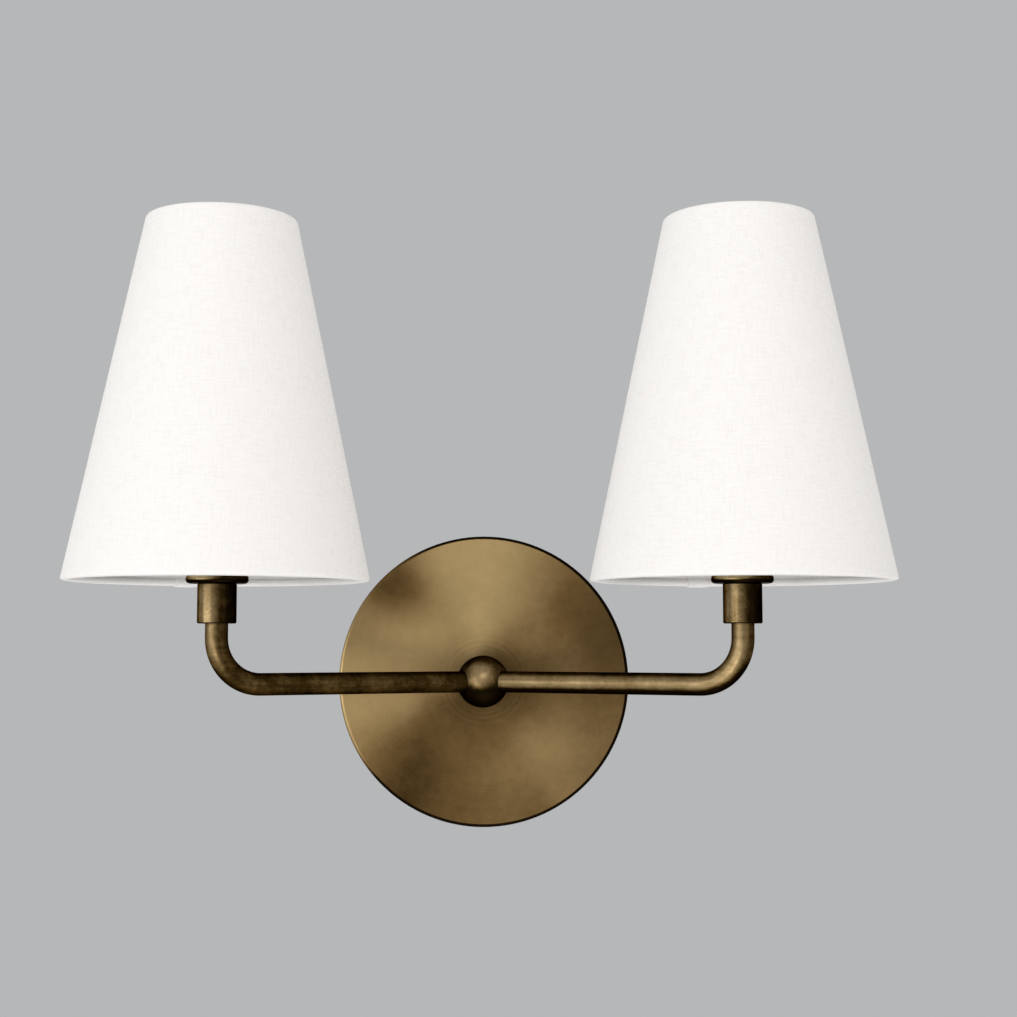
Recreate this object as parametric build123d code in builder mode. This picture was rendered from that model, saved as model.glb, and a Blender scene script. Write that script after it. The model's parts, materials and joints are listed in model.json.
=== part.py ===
"""Double arm wall sconce: a round spun canopy, a drilled ball, two bent tube arms and two tapered shades.

Millimetres, +Z up. The origin is the centre of the canopy's back rim, on the wall. The wall is the XZ
plane, the light stands out from it along -Y, and +X is the viewer's right.
"""

import os
from math import atan2, cos, degrees, hypot, pi, radians, sin, sqrt, tan

from build123d import *

# ------------------------------------------------------------------ driving sizes
# Fits: shaft_fit is the radial room of a turned fit, glue_gap the glue line between laminated layers.
shaft_fit = 0.05
glue_gap = 0.05

# Canopy: a shallow spun cup, open towards the wall.
canopy_diameter = 133.35
canopy_depth = 20.0
canopy_wall = 1.2
canopy_edge_radius = 1.5

# Wall bracket: a strap with an ear bent up at each end, held to the outlet box through two slots.
bracket_width = 16.0
bracket_thickness = 2.0
bracket_ear_height = 15.0
bracket_bend_radius = 1.5
bracket_rim_gap = 0.15
slot_spacing = 79.4
slot_length = 14.4
slot_width = 4.8

# Two side screws clamp the canopy's rim to the ears, a green one takes the ground lead.
screw_diameter = 4.0
screw_hole_room = 0.6
side_screw_height = 9.0
side_screw_grip = 4.0
side_screw_head_diameter = 7.0
side_screw_head_height = 2.2
ground_screw_x = 20.0
ground_screw_collar_diameter = 8.4
ground_screw_collar = 0.8
ground_screw_flats = 6.4
ground_screw_head = 2.6
ground_screw_backset = 0.2

# Lamp pipe: the nipples and the arms share one outer diameter.
pipe_diameter = 9.525
nipple_bore = 6.5
nut_flats = 14.0
nut_thickness = 3.5
washer_diameter = 17.0
washer_thickness = 1.0
nipple_end_past_nut = 1.2

# Neck and ball.
neck_diameter = 12.0
neck_length = 4.0
ball_diameter = 23.5
ball_passage = 7.5
pipe_stop = 5.6
relief_width = 0.35
relief_depth = 1.0

# Arms: they leave the ball at arm_sweep towards the room and bend straight up.
arm_sweep = 30.0
lamp_spacing = 218.6
tube_wall = 0.9
bend_radius = 19.5
arm_seat_depth = 8.6

# Cup and flange under each lamp socket.
cup_base_height = 25.4
cup_diameter = 16.3
cup_height = 16.6
cup_edge = 0.4
flange_diameter = 26.0
flange_height = 3.6
flange_edge_radius = 1.6

# Lamp socket, heights counted from the flange's top.
socket_diameter = 22.2
socket_height = 30.0
socket_edge = 0.8
socket_nipple_depth = 6.0
wiring_chamber_diameter = 15.2
web_height = 12.0
web_thickness = 2.0
shell_outer_diameter = 13.3
shell_wall = 0.6
shell_height = 14.5
shell_tail_width = 3.0
shell_foot_height = 7.4
contact_stem_diameter = 4.4
contact_stem_base = 10.0
contact_head_diameter = 6.4
contact_head = 0.6
contact_button_diameter = 3.6
contact_button = 1.0

# Bulb: a slim tubular candelabra lamp.
bulb_diameter = 19.0
bulb_length = 72.5
bulb_cap_room = 0.1
bulb_cap_height = 12.4
bulb_cap_wall = 0.35
bulb_button_diameter = 3.6
bulb_button = 0.8
bulb_insulator_height = 2.2
bulb_insulator_diameter = 7.0
bulb_neck_room = 0.1
bulb_neck_depth = 5.0
bulb_neck_rise = 1.5
bulb_shoulder_height = 9.0
bulb_shoulder_radius = 6.0
glass_wall = 0.7
mount_stem_diameter = 4.4
mount_stem_height = 13.0
filament_inset = 0.4
filament_height = 36.0
filament_diameter = 0.8

# Rings on the socket's outer thread: the lower one carries the shade, the upper one clamps it.
ring_diameter = 29.0
ring_height = 4.0
ring_notches = 12
ring_notch_radius = 1.1
hub_rise = 10.0
hub_thickness = 1.5
hub_diameter = 31.0
hub_room = 0.4

# Shade: bottom, top and upright height over the fabric, and its bottom edge above the arm's centre line.
shade_bottom_diameter = 127.0
shade_top_diameter = 63.5
shade_height = 152.4
shade_base_height = 43.3
fabric_thickness = 0.5
fabric_fold_radius = 0.4
liner_thickness = 0.4
hem_depth = 9.0
ring_wire_diameter = 2.0
spoke_count = 3
spoke_level_run = 6.0
spoke_bend_radius = 5.0
spoke_slit_room = 0.3

# Leads: two per lamp, side by side through arm, ball and nipple to the connectors in the canopy.
lead_diameter = 2.0
lead_gap = 0.3
lead_canopy_radius = 4.0
lead_ball_radius = 6.0
connector_mouth_height = 15.0
connector_depth = 9.0
connector_length = 20.0
connector_mouth_diameter = 10.0
connector_tip_diameter = 7.0
connector_bore = 6.0
connector_edge = 0.8
connector_wing_span = 14.0
connector_wing_thickness = 1.6
connector_wing_length = 9.0

# Ground lead with a crimped ring terminal at each end.
terminal_thickness = 0.8
terminal_rim = 2.6
terminal_barrel_diameter = 3.2
terminal_barrel_length = 5.5
terminal_barrel_gap = 1.0
ground_lead_diameter = 1.8
ground_lead_reach = 6.5
ground_lead_rise = 17.0
ground_lead_lean = 3.2

# ------------------------------------------------------------------ sizes worked out from those
canopy_radius = canopy_diameter / 2
canopy_inner_radius = canopy_radius - canopy_wall
canopy_inner_depth = canopy_depth - canopy_wall
screw_radius = screw_diameter / 2
pipe_radius = pipe_diameter / 2
pipe_hole_radius = pipe_radius + shaft_fit
neck_radius = neck_diameter / 2
ball_radius = ball_diameter / 2
ball_distance = canopy_depth + neck_length + sqrt(ball_radius**2 - neck_radius**2)
ball_center = Vector(0, -ball_distance, 0)
terminal_seat = canopy_inner_depth - washer_thickness
nut_seat = terminal_seat - terminal_thickness
nipple_back = nut_seat - nut_thickness - nipple_end_past_nut

arm_reach = lamp_spacing / 2 / cos(radians(arm_sweep))
arm_top_height = cup_base_height + arm_seat_depth
flange_base_height = cup_base_height + cup_height
flange_top_height = flange_base_height + flange_height
socket_radius = socket_diameter / 2
shell_outer_radius = shell_outer_diameter / 2
shell_inner_radius = shell_outer_radius - shell_wall
shell_tail_reach = sqrt(shell_outer_radius**2 - (shell_tail_width / 2) ** 2)
shell_base = web_height + web_thickness
bulb_base = shell_base + contact_head + contact_button
bulb_cap_radius = shell_inner_radius - bulb_cap_room
bulb_cap_base = bulb_base + bulb_button + bulb_insulator_height
bulb_cap_top = bulb_cap_base + bulb_cap_height
bulb_neck_radius = bulb_cap_radius - bulb_cap_wall - bulb_neck_room
bulb_glass_base = bulb_cap_top - bulb_neck_depth
bulb_shoulder_base = bulb_cap_top + bulb_neck_rise
bulb_top = bulb_base + bulb_length

hub_base_height = flange_top_height + hub_rise
hub_inner_radius = socket_radius + hub_room
shade_taper = atan2((shade_bottom_diameter - shade_top_diameter) / 2, shade_height)
slant_length = hypot((shade_bottom_diameter - shade_top_diameter) / 2, shade_height)
ring_wire_radius = ring_wire_diameter / 2
liner_inset = fabric_thickness + glue_gap
layers_depth = fabric_thickness + glue_gap + liner_thickness + glue_gap
hem_thickness = layers_depth + fabric_thickness
wire_pocket_radius = ring_wire_radius + glue_gap
wire_wrap_radius = wire_pocket_radius + fabric_thickness
bottom_wire_spot = (wire_wrap_radius, layers_depth + ring_wire_radius)
top_wire_spot = (slant_length - wire_wrap_radius, layers_depth + ring_wire_radius)
bottom_ring_radius = (
    shade_bottom_diameter / 2
    - bottom_wire_spot[0] * sin(shade_taper)
    - bottom_wire_spot[1] * cos(shade_taper)
)
bottom_ring_height = (
    shade_base_height
    + bottom_wire_spot[0] * cos(shade_taper)
    - bottom_wire_spot[1] * sin(shade_taper)
)

lead_radius = lead_diameter / 2
lead_offset = lead_radius + lead_gap / 2
lead_canopy_distance = nipple_back - lead_canopy_radius

upward = Vector(0, 0, 1)
to_wall = Vector(0, 1, 0)
to_room = Vector(0, -1, 0)
sides = {"left": -1, "right": 1}


# ------------------------------------------------------------------ places
def arm_direction(side):
    """Unit vector along an arm, away from the ball."""
    return Vector(side * cos(radians(arm_sweep)), -sin(radians(arm_sweep)), 0)


def lamp_foot(side):
    """Where a lamp's upright axis meets the height of the arm's centre line."""
    return ball_center + arm_direction(side) * arm_reach


def lamp_axis(side):
    return Axis(lamp_foot(side), upward)


def lamp_plane(side, height):
    """Level plane across a lamp's axis, with its local X along the arm."""
    return Plane(origin=lamp_foot(side) + upward * height, x_dir=arm_direction(side), z_dir=upward)


def lamp_section_plane(side, height):
    """Upright plane through a lamp's axis: local X is the radius and local Y is up."""
    across = arm_direction(side)
    return Plane(origin=lamp_foot(side) + upward * height, x_dir=across, z_dir=across.cross(upward))


def shade_section_plane(side):
    """Plane of the shade's section: local X runs up the slope and local Y inwards."""
    corner = lamp_foot(side) + Vector(shade_bottom_diameter / 2, 0, shade_base_height)
    slope = Vector(-sin(shade_taper), 0, cos(shade_taper))
    return Plane(origin=corner, x_dir=slope, z_dir=to_room)


def spoke_directions():
    """One spoke points to the wall, behind the socket, and the others share the circle evenly."""
    step = 2 * pi / spoke_count
    return [Vector(sin(i * step), cos(i * step), 0) for i in range(spoke_count)]


# ------------------------------------------------------------------ wall bracket and canopy
with BuildPart() as wall_bracket:
    strap_half_width = bracket_width / 2
    ear_reach = sqrt((canopy_inner_radius - bracket_rim_gap) ** 2 - strap_half_width**2)
    with BuildSketch(Plane.XY) as bracket_section:
        with Locations((0, -bracket_ear_height / 2)):
            Rectangle(2 * ear_reach, bracket_ear_height)
        with Locations((0, -(bracket_ear_height + bracket_thickness) / 2)):
            Rectangle(
                2 * (ear_reach - bracket_thickness),
                bracket_ear_height - bracket_thickness,
                mode=Mode.SUBTRACT,
            )
        corners = bracket_section.vertices().group_by(Axis.Y)
        fillet(corners[-1], bracket_bend_radius + bracket_thickness)
        fillet(corners[-2], bracket_bend_radius)
    extrude(amount=strap_half_width, both=True)
    with BuildSketch(Plane.XZ):
        with Locations((-slot_spacing / 2, 0), (slot_spacing / 2, 0)):
            SlotOverall(slot_length, slot_width)
        with Locations((ground_screw_x, 0)):
            Circle(screw_radius + shaft_fit)
    extrude(amount=bracket_thickness, mode=Mode.SUBTRACT)
    with BuildSketch(Plane.YZ):
        with Locations((-side_screw_height, 0)):
            Circle(screw_radius + shaft_fit)
    extrude(amount=ear_reach, both=True, mode=Mode.SUBTRACT)

with BuildPart() as canopy:
    with BuildSketch(Plane.XZ):
        Circle(canopy_radius)
    extrude(amount=canopy_depth)
    fillet(canopy.edges().sort_by(Axis.Y)[0], canopy_edge_radius)
    with BuildSketch(Plane.XZ):
        Circle(canopy_inner_radius)
    extrude(amount=canopy_inner_depth, mode=Mode.SUBTRACT)
    with BuildSketch(Plane.XZ):
        Circle(pipe_hole_radius)
    extrude(amount=canopy_depth, mode=Mode.SUBTRACT)
    with BuildSketch(Plane.YZ):
        with Locations((-side_screw_height, 0)):
            Circle(screw_radius + screw_hole_room / 2)
    extrude(amount=canopy_radius, both=True, mode=Mode.SUBTRACT)

with BuildPart() as canopy_side_screws:
    shank_length = canopy_radius - ear_reach + side_screw_grip
    for side in sides.values():
        seat = Plane(origin=(side * canopy_radius, -side_screw_height, 0), z_dir=(side, 0, 0))
        with BuildSketch(seat):
            Circle(side_screw_head_diameter / 2)
        extrude(amount=side_screw_head_height)
        with BuildSketch(seat):
            Circle(screw_radius)
        extrude(amount=-shank_length)
    head_rims = canopy_side_screws.edges().filter_by(GeomType.CIRCLE).sort_by(Axis.X)
    fillet([head_rims[0], head_rims[-1]], side_screw_head_height / 2)

with BuildPart() as ground_screw:
    head_seat = bracket_thickness + terminal_thickness
    with BuildSketch(Plane.XZ.offset(head_seat)):
        with Locations((ground_screw_x, 0)):
            Circle(ground_screw_collar_diameter / 2)
    extrude(amount=ground_screw_collar)
    with BuildSketch(Plane.XZ.offset(head_seat)):
        with Locations((ground_screw_x, 0)):
            RegularPolygon(ground_screw_flats / 2, 6, major_radius=False)
    extrude(amount=ground_screw_head)
    with BuildSketch(Plane.XZ.offset(ground_screw_backset)):
        with Locations((ground_screw_x, 0)):
            Circle(screw_radius)
    extrude(amount=head_seat - ground_screw_backset)

with BuildPart() as canopy_nipple:
    with BuildSketch(Plane.XZ.offset(nipple_back)):
        Circle(pipe_radius)
        Circle(nipple_bore / 2, mode=Mode.SUBTRACT)
    extrude(amount=ball_distance - pipe_stop - nipple_back)

with BuildPart() as canopy_washer:
    with BuildSketch(Plane.XZ.offset(terminal_seat)):
        Circle(washer_diameter / 2)
        Circle(pipe_hole_radius, mode=Mode.SUBTRACT)
    extrude(amount=washer_thickness)

with BuildPart() as canopy_nut:
    with BuildSketch(Plane.XZ.offset(nut_seat - nut_thickness)):
        RegularPolygon(nut_flats / 2, 6, major_radius=False)
        Circle(pipe_hole_radius, mode=Mode.SUBTRACT)
    extrude(amount=nut_thickness)

with BuildPart() as neck_collar:
    with BuildSketch(Plane.XZ.offset(canopy_depth)):
        Circle(neck_radius)
        Circle(pipe_hole_radius, mode=Mode.SUBTRACT)
    extrude(amount=neck_length)


# ------------------------------------------------------------------ ball and arms
with BuildPart() as hub_ball:
    with Locations(ball_center):
        Sphere(ball_radius)
    with BuildSketch(Plane.XZ.offset(canopy_depth + neck_length)):
        Circle(ball_radius)
    extrude(amount=-ball_radius, mode=Mode.SUBTRACT)
    for direction in (to_wall, arm_direction(-1), arm_direction(1)):
        drilling = Plane(origin=ball_center, z_dir=direction)
        with BuildSketch(drilling):
            Circle(ball_passage / 2)
        extrude(amount=ball_radius, mode=Mode.SUBTRACT)
        with BuildSketch(drilling.offset(pipe_stop)):
            Circle(pipe_hole_radius)
        extrude(amount=ball_radius, mode=Mode.SUBTRACT)
    relief_radius = pipe_radius + relief_width
    relief_floor = sqrt(ball_radius**2 - relief_radius**2) - relief_depth
    for side in sides.values():
        with BuildSketch(Plane(origin=ball_center, z_dir=arm_direction(side)).offset(relief_floor)):
            Circle(relief_radius)
        extrude(amount=ball_radius, mode=Mode.SUBTRACT)


def build_arm(side):
    """Tube from the ball's drilling, round one bend, up into the cup."""
    start = ball_center + arm_direction(side) * pipe_stop
    top = lamp_foot(side) + upward * arm_top_height
    with BuildPart() as arm:
        with BuildLine():
            FilletPolyline(start, lamp_foot(side), top, radius=bend_radius)
        with BuildSketch(Plane(origin=start, z_dir=arm_direction(side))):
            Circle(pipe_radius)
            Circle(pipe_radius - tube_wall, mode=Mode.SUBTRACT)
        sweep()
    return arm.part


def build_cup(side):
    """Turned coupling with a through bore: the arm seats from below, the nipple from above."""
    with BuildPart() as cup:
        with BuildSketch(lamp_plane(side, cup_base_height)):
            Circle(cup_diameter / 2)
        extrude(amount=cup_height)
        chamfer(cup.edges().filter_by(GeomType.CIRCLE), cup_edge)
        with BuildSketch(lamp_plane(side, cup_base_height)):
            Circle(pipe_hole_radius)
        extrude(amount=cup_height, mode=Mode.SUBTRACT)
    return cup.part


def build_flange(side):
    """Round-edged disc between the cup and the socket."""
    edge_radius = min(flange_edge_radius, 0.48 * flange_height)
    with BuildPart() as flange:
        with BuildSketch(lamp_plane(side, flange_base_height)):
            Circle(flange_diameter / 2)
        extrude(amount=flange_height)
        fillet(flange.edges().filter_by(GeomType.CIRCLE), edge_radius)
        with BuildSketch(lamp_plane(side, flange_base_height)):
            Circle(pipe_hole_radius)
        extrude(amount=flange_height, mode=Mode.SUBTRACT)
    return flange.part


def build_arm_nipple(side):
    """Threaded pipe that starts on the arm's end in the cup and ends in the socket's base."""
    with BuildPart() as nipple:
        with BuildSketch(lamp_plane(side, arm_top_height)):
            Circle(pipe_radius)
            Circle(nipple_bore / 2, mode=Mode.SUBTRACT)
        extrude(amount=flange_top_height + socket_nipple_depth - arm_top_height)
    return nipple.part


# ------------------------------------------------------------------ lamp socket
def build_socket_body(side):
    """Moulded insulator: nipple hole, wiring chamber, web with its two slots, bore for the shell."""
    tail_slot = shell_wall + 2 * shaft_fit
    with BuildPart() as body:
        with BuildSketch(lamp_plane(side, flange_top_height)):
            Circle(socket_radius)
        extrude(amount=socket_height)
        chamfer(body.edges().sort_by(Axis.Z)[-1], socket_edge)
        with BuildSketch(lamp_plane(side, flange_top_height)):
            Circle(pipe_hole_radius)
        extrude(amount=socket_nipple_depth, mode=Mode.SUBTRACT)
        with BuildSketch(lamp_plane(side, flange_top_height + socket_nipple_depth)):
            Circle(wiring_chamber_diameter / 2)
        extrude(amount=web_height - socket_nipple_depth, mode=Mode.SUBTRACT)
        with BuildSketch(lamp_plane(side, flange_top_height + web_height)):
            Circle(contact_stem_diameter / 2 + shaft_fit)
            with Locations((shell_tail_reach - shell_wall / 2, 0)):
                Rectangle(tail_slot, shell_tail_width + 2 * shaft_fit)
        extrude(amount=web_thickness, mode=Mode.SUBTRACT)
        with BuildSketch(lamp_plane(side, flange_top_height + shell_base)):
            Circle(shell_outer_radius + shaft_fit)
        extrude(amount=socket_height - shell_base, mode=Mode.SUBTRACT)
    return body.part


def build_socket_shell(side):
    """Screw shell with a tail that goes down through the web and turns in over its lead."""
    foot_start = lead_offset - lead_radius
    foot_length = shell_tail_reach - foot_start
    with BuildPart() as shell:
        with BuildSketch(lamp_plane(side, flange_top_height + shell_base)):
            Circle(shell_outer_radius)
            Circle(shell_inner_radius, mode=Mode.SUBTRACT)
        extrude(amount=shell_height)
        with BuildSketch(lamp_plane(side, flange_top_height + shell_foot_height)):
            with Locations((shell_tail_reach - shell_wall / 2, 0)):
                Rectangle(shell_wall, shell_tail_width)
        extrude(amount=shell_base - shell_foot_height + shell_wall)
        with BuildSketch(lamp_plane(side, flange_top_height + shell_foot_height)):
            with Locations((foot_start + foot_length / 2, 0)):
                Rectangle(foot_length, shell_tail_width)
        extrude(amount=shell_wall)
        with BuildSketch(lamp_plane(side, flange_top_height + shell_base)):
            Circle(shell_inner_radius)
        extrude(amount=shell_height, mode=Mode.SUBTRACT)
    return shell.part


def build_socket_contact(side):
    """Centre contact: a rivet through the web with a raised button."""
    steps = (
        (contact_stem_base, contact_stem_diameter, shell_base - contact_stem_base),
        (shell_base, contact_head_diameter, contact_head),
        (shell_base + contact_head, contact_button_diameter, contact_button),
    )
    with BuildPart() as contact:
        for base, diameter, height in steps:
            with BuildSketch(lamp_plane(side, flange_top_height + base)):
                Circle(diameter / 2)
            extrude(amount=height)
    return contact.part


def build_thread_ring(side, base_height):
    """Notched ring on the socket's outer thread."""
    with BuildPart() as ring:
        with BuildSketch(lamp_plane(side, base_height)):
            Circle(ring_diameter / 2)
            Circle(socket_radius + shaft_fit, mode=Mode.SUBTRACT)
            with PolarLocations(ring_diameter / 2, ring_notches):
                Circle(ring_notch_radius, mode=Mode.SUBTRACT)
        extrude(amount=ring_height)
    return ring.part


# ------------------------------------------------------------------ bulb
def build_bulb_cap(side):
    """Screw cap, a thin cup with a hole in its floor for the insulator."""
    with BuildPart() as cap:
        with BuildSketch(lamp_plane(side, flange_top_height + bulb_cap_base)):
            Circle(bulb_cap_radius)
        extrude(amount=bulb_cap_height)
        with BuildSketch(lamp_plane(side, flange_top_height + bulb_cap_base + bulb_cap_wall)):
            Circle(bulb_cap_radius - bulb_cap_wall)
        extrude(amount=bulb_cap_height, mode=Mode.SUBTRACT)
    return cap.part


def build_bulb_tip(side):
    """Tapered insulator with the contact button below it."""
    with BuildPart() as tip:
        with BuildSketch(lamp_plane(side, flange_top_height + bulb_base)):
            Circle(bulb_button_diameter / 2)
        extrude(amount=bulb_button)
        with BuildSketch(lamp_plane(side, flange_top_height + bulb_base + bulb_button)):
            Circle(bulb_insulator_diameter / 2)
        with BuildSketch(lamp_plane(side, flange_top_height + bulb_cap_base)):
            Circle(bulb_cap_radius - bulb_cap_wall)
        loft()
    return tip.part


def build_bulb_glass(side):
    """Closed tubular envelope: a straight neck, a soft shoulder and a domed end."""
    bulb_radius = bulb_diameter / 2
    with BuildPart() as glass:
        for inset in (0, glass_wall):
            with BuildSketch(lamp_section_plane(side, flange_top_height)) as section:
                neck = bulb_neck_radius - inset
                body = bulb_radius - inset
                with BuildLine():
                    Polyline(
                        (0, bulb_glass_base + inset),
                        (neck, bulb_glass_base + inset),
                        (neck, bulb_shoulder_base),
                        (body, bulb_shoulder_base + bulb_shoulder_height),
                        (body, bulb_top - inset),
                        (0, bulb_top - inset),
                        close=True,
                    )
                make_face()
                points = section.vertices().sort_by(Axis.X)
                shoulder = [p for p in points if bulb_cap_top < p.Y < bulb_top - glass_wall]
                fillet(shoulder, bulb_shoulder_radius)
                fillet(section.vertices().group_by(Axis.Y)[-1].sort_by(Axis.X)[-1], 0.9 * body)
            revolve(axis=lamp_axis(side), mode=Mode.SUBTRACT if inset else Mode.ADD)
    return glass.part


def build_bulb_filament(side):
    """Glass stem on the envelope's floor with a hairpin filament."""
    stem_base = bulb_glass_base + glass_wall
    section = lamp_section_plane(side, flange_top_height)
    foot = stem_base + mount_stem_height
    crown = stem_base + mount_stem_height + filament_height
    half = mount_stem_diameter / 2 - filament_inset - filament_diameter / 2
    route = [(-half, foot), (-half, crown), (half, crown), (half, foot)]
    with BuildPart() as mount:
        with BuildSketch(lamp_plane(side, flange_top_height + stem_base)):
            Circle(mount_stem_diameter / 2)
        extrude(amount=mount_stem_height)
        with BuildLine():
            FilletPolyline(*[section.from_local_coords(p) for p in route], radius=0.9 * half)
        with BuildSketch(Plane(origin=section.from_local_coords(route[0]), z_dir=upward)):
            Circle(filament_diameter / 2)
        sweep()
    return mount.part


# ------------------------------------------------------------------ shade
def build_shade_hub(side):
    """Flat ring that lies on the lower thread ring."""
    with BuildPart() as hub:
        with BuildSketch(lamp_plane(side, hub_base_height)):
            Circle(hub_diameter / 2)
            Circle(hub_inner_radius, mode=Mode.SUBTRACT)
        extrude(amount=hub_thickness)
    return hub.part


def build_shade_frame(side):
    """Bottom ring wire with the spokes that climb from it to the hub."""
    hub_level = hub_base_height + hub_thickness / 2
    upright = Plane(origin=lamp_foot(side), x_dir=(1, 0, 0), z_dir=to_room)
    with BuildPart() as frame:
        with BuildSketch(upright):
            with Locations((bottom_ring_radius, bottom_ring_height)):
                Circle(ring_wire_radius)
        revolve(axis=lamp_axis(side))
        for direction in spoke_directions():
            stations = (
                (hub_diameter / 2, hub_level),
                (hub_diameter / 2 + spoke_level_run, hub_level),
                (bottom_ring_radius - spoke_level_run, bottom_ring_height),
                (bottom_ring_radius, bottom_ring_height),
            )
            points = [lamp_foot(side) + direction * r + upward * z for r, z in stations]
            with BuildLine():
                FilletPolyline(*points, radius=spoke_bend_radius)
            with BuildSketch(Plane(origin=points[0], z_dir=direction)):
                Circle(ring_wire_radius)
            sweep()
    return frame.part


def build_shade_top_ring(side):
    with BuildPart() as ring:
        with BuildSketch(shade_section_plane(side)):
            with Locations(top_wire_spot):
                Circle(ring_wire_radius)
        revolve(axis=lamp_axis(side))
    return ring.part


def build_shade_liner(side):
    """Stiff translucent cone that the fabric is laminated on."""
    with BuildPart() as liner:
        with BuildSketch(shade_section_plane(side)):
            with Locations((slant_length / 2, liner_inset + liner_thickness / 2)):
                Rectangle(slant_length - 2 * liner_inset, liner_thickness)
        revolve(axis=lamp_axis(side))
    return liner.part


def build_shade_fabric(side):
    """Skin over the liner, rolled round both ring wires into a hem that is slit at each spoke."""
    slit_width = ring_wire_diameter + 2 * spoke_slit_room
    slit_base = bottom_ring_height - ring_wire_radius - glue_gap
    slit_reach = 2 * wire_wrap_radius
    with BuildPart() as fabric:
        with BuildSketch(shade_section_plane(side)) as section:
            with Locations((slant_length / 2, hem_thickness / 2)):
                Rectangle(slant_length, hem_thickness)
            with Locations(bottom_wire_spot, top_wire_spot):
                Circle(wire_wrap_radius)
            with Locations((slant_length / 2, fabric_thickness + hem_thickness / 2)):
                Rectangle(slant_length - 2 * hem_depth, hem_thickness, mode=Mode.SUBTRACT)
            with Locations((slant_length / 2, (fabric_thickness + layers_depth) / 2)):
                Rectangle(
                    slant_length - 2 * fabric_thickness,
                    layers_depth - fabric_thickness,
                    mode=Mode.SUBTRACT,
                )
            with Locations(bottom_wire_spot, top_wire_spot):
                Circle(wire_pocket_radius, mode=Mode.SUBTRACT)
            fillet(section.vertices().group_by(Axis.Y)[0], fabric_fold_radius)
        revolve(axis=lamp_axis(side))
        for direction in spoke_directions():
            middle = lamp_foot(side) + direction * (bottom_ring_radius - slit_reach / 2)
            with BuildSketch(Plane(origin=middle + upward * slit_base, x_dir=direction, z_dir=upward)):
                Rectangle(slit_reach, slit_width)
            extrude(amount=hem_depth, mode=Mode.SUBTRACT)
    return fabric.part


# ------------------------------------------------------------------ leads
def build_tube(route, radii, radius):
    """Round cord along straight runs joined by tangent arcs. Prints its arcs and how full it is."""
    with BuildPart() as cord:
        with BuildLine() as path:
            FilletPolyline(*route, radius=radii)
        with BuildSketch(Plane(origin=route[0], z_dir=route[1] - route[0])):
            Circle(radius)
        sweep()
    length = sum(edge.length for edge in path.edges())
    share = cord.part.volume / (pi * radius**2 * length)
    print(f"cord {length:.1f} mm long, arcs {[round(r, 1) for r in radii]} mm, volume x{share:.4f}")
    return cord.part


def build_lead(side, level):
    """One conductor of a lamp's pair: level 1 runs above the arm's centre line, -1 below it."""
    lift = level * lead_offset
    inboard = side * lead_offset
    end_height = contact_stem_base if level > 0 else shell_foot_height
    corner = lamp_foot(side) - arm_direction(side) * lift + upward * lift
    route = [
        Vector(inboard, -lead_canopy_distance, level * (connector_mouth_height + connector_depth)),
        Vector(inboard, -lead_canopy_distance, lift),
        Vector(inboard, -ball_distance - lead_offset * tan(radians(arm_sweep)), lift),
        corner,
        Vector(corner.X, corner.Y, flange_top_height + end_height),
    ]
    return build_tube(route, [lead_canopy_radius, lead_ball_radius, bend_radius - lift], lead_radius)


with BuildPart() as wire_connectors:
    for level in (1, -1):
        mouth = Plane(origin=(0, -lead_canopy_distance, level * connector_mouth_height), z_dir=(0, 0, level))
        with BuildSketch(mouth):
            Circle(connector_mouth_diameter / 2)
        with BuildSketch(mouth.offset(connector_length)):
            Circle(connector_tip_diameter / 2)
        loft()
        with BuildSketch(mouth):
            Rectangle(connector_wing_span, connector_wing_thickness)
        extrude(amount=connector_wing_length)
    tips = wire_connectors.edges().filter_by(GeomType.CIRCLE).sort_by(Axis.Z)
    fillet([tips[0], tips[-1]], connector_edge)
    for level in (1, -1):
        mouth = Plane(origin=(0, -lead_canopy_distance, level * connector_mouth_height), z_dir=(0, 0, level))
        with BuildSketch(mouth):
            Circle(connector_bore / 2)
        extrude(amount=connector_depth, mode=Mode.SUBTRACT)


# Each terminal: ring centre on its seat, direction of its barrel, direction away from the seat, hole.
nipple_terminal = (Vector(0, -terminal_seat, 0), Vector(1, 0, 0), to_wall, pipe_hole_radius)
screw_terminal = (
    Vector(ground_screw_x, -bracket_thickness, 0),
    upward,
    to_room,
    screw_radius + shaft_fit,
)
barrel_radius = terminal_barrel_diameter / 2


def terminal_barrel_start(hole_radius):
    return hole_radius + terminal_rim + terminal_barrel_gap


def terminal_lead_point(center, along, out, hole_radius):
    """Centre of the barrel's open end."""
    reach = terminal_barrel_start(hole_radius) + terminal_barrel_length
    return center + along * reach + out * barrel_radius


with BuildPart() as ground_terminals:
    for center, along, out, hole_radius in (nipple_terminal, screw_terminal):
        start = terminal_barrel_start(hole_radius)
        with BuildSketch(Plane(origin=center, x_dir=along, z_dir=out)):
            Circle(hole_radius + terminal_rim)
            with Locations((start / 2 + barrel_radius / 2, 0)):
                Rectangle(start + barrel_radius, terminal_barrel_diameter)
            Circle(hole_radius, mode=Mode.SUBTRACT)
        extrude(amount=terminal_thickness)
        with BuildSketch(Plane(origin=center + along * start + out * barrel_radius, z_dir=along)):
            Circle(barrel_radius)
        extrude(amount=terminal_barrel_length)

lead_start = terminal_lead_point(*nipple_terminal)
lead_end = terminal_lead_point(*screw_terminal)
ground_corner = lead_start + Vector(ground_lead_reach, 0, 0)
ground_route = [
    lead_start,
    ground_corner,
    Vector(ground_corner.X, ground_corner.Y + ground_lead_lean, ground_lead_rise),
    Vector(lead_end.X, lead_end.Y, ground_lead_rise),
    lead_end,
]
ground_lead = build_tube(ground_route, [2.9, 4.8, 2.6], ground_lead_diameter / 2)

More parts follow.
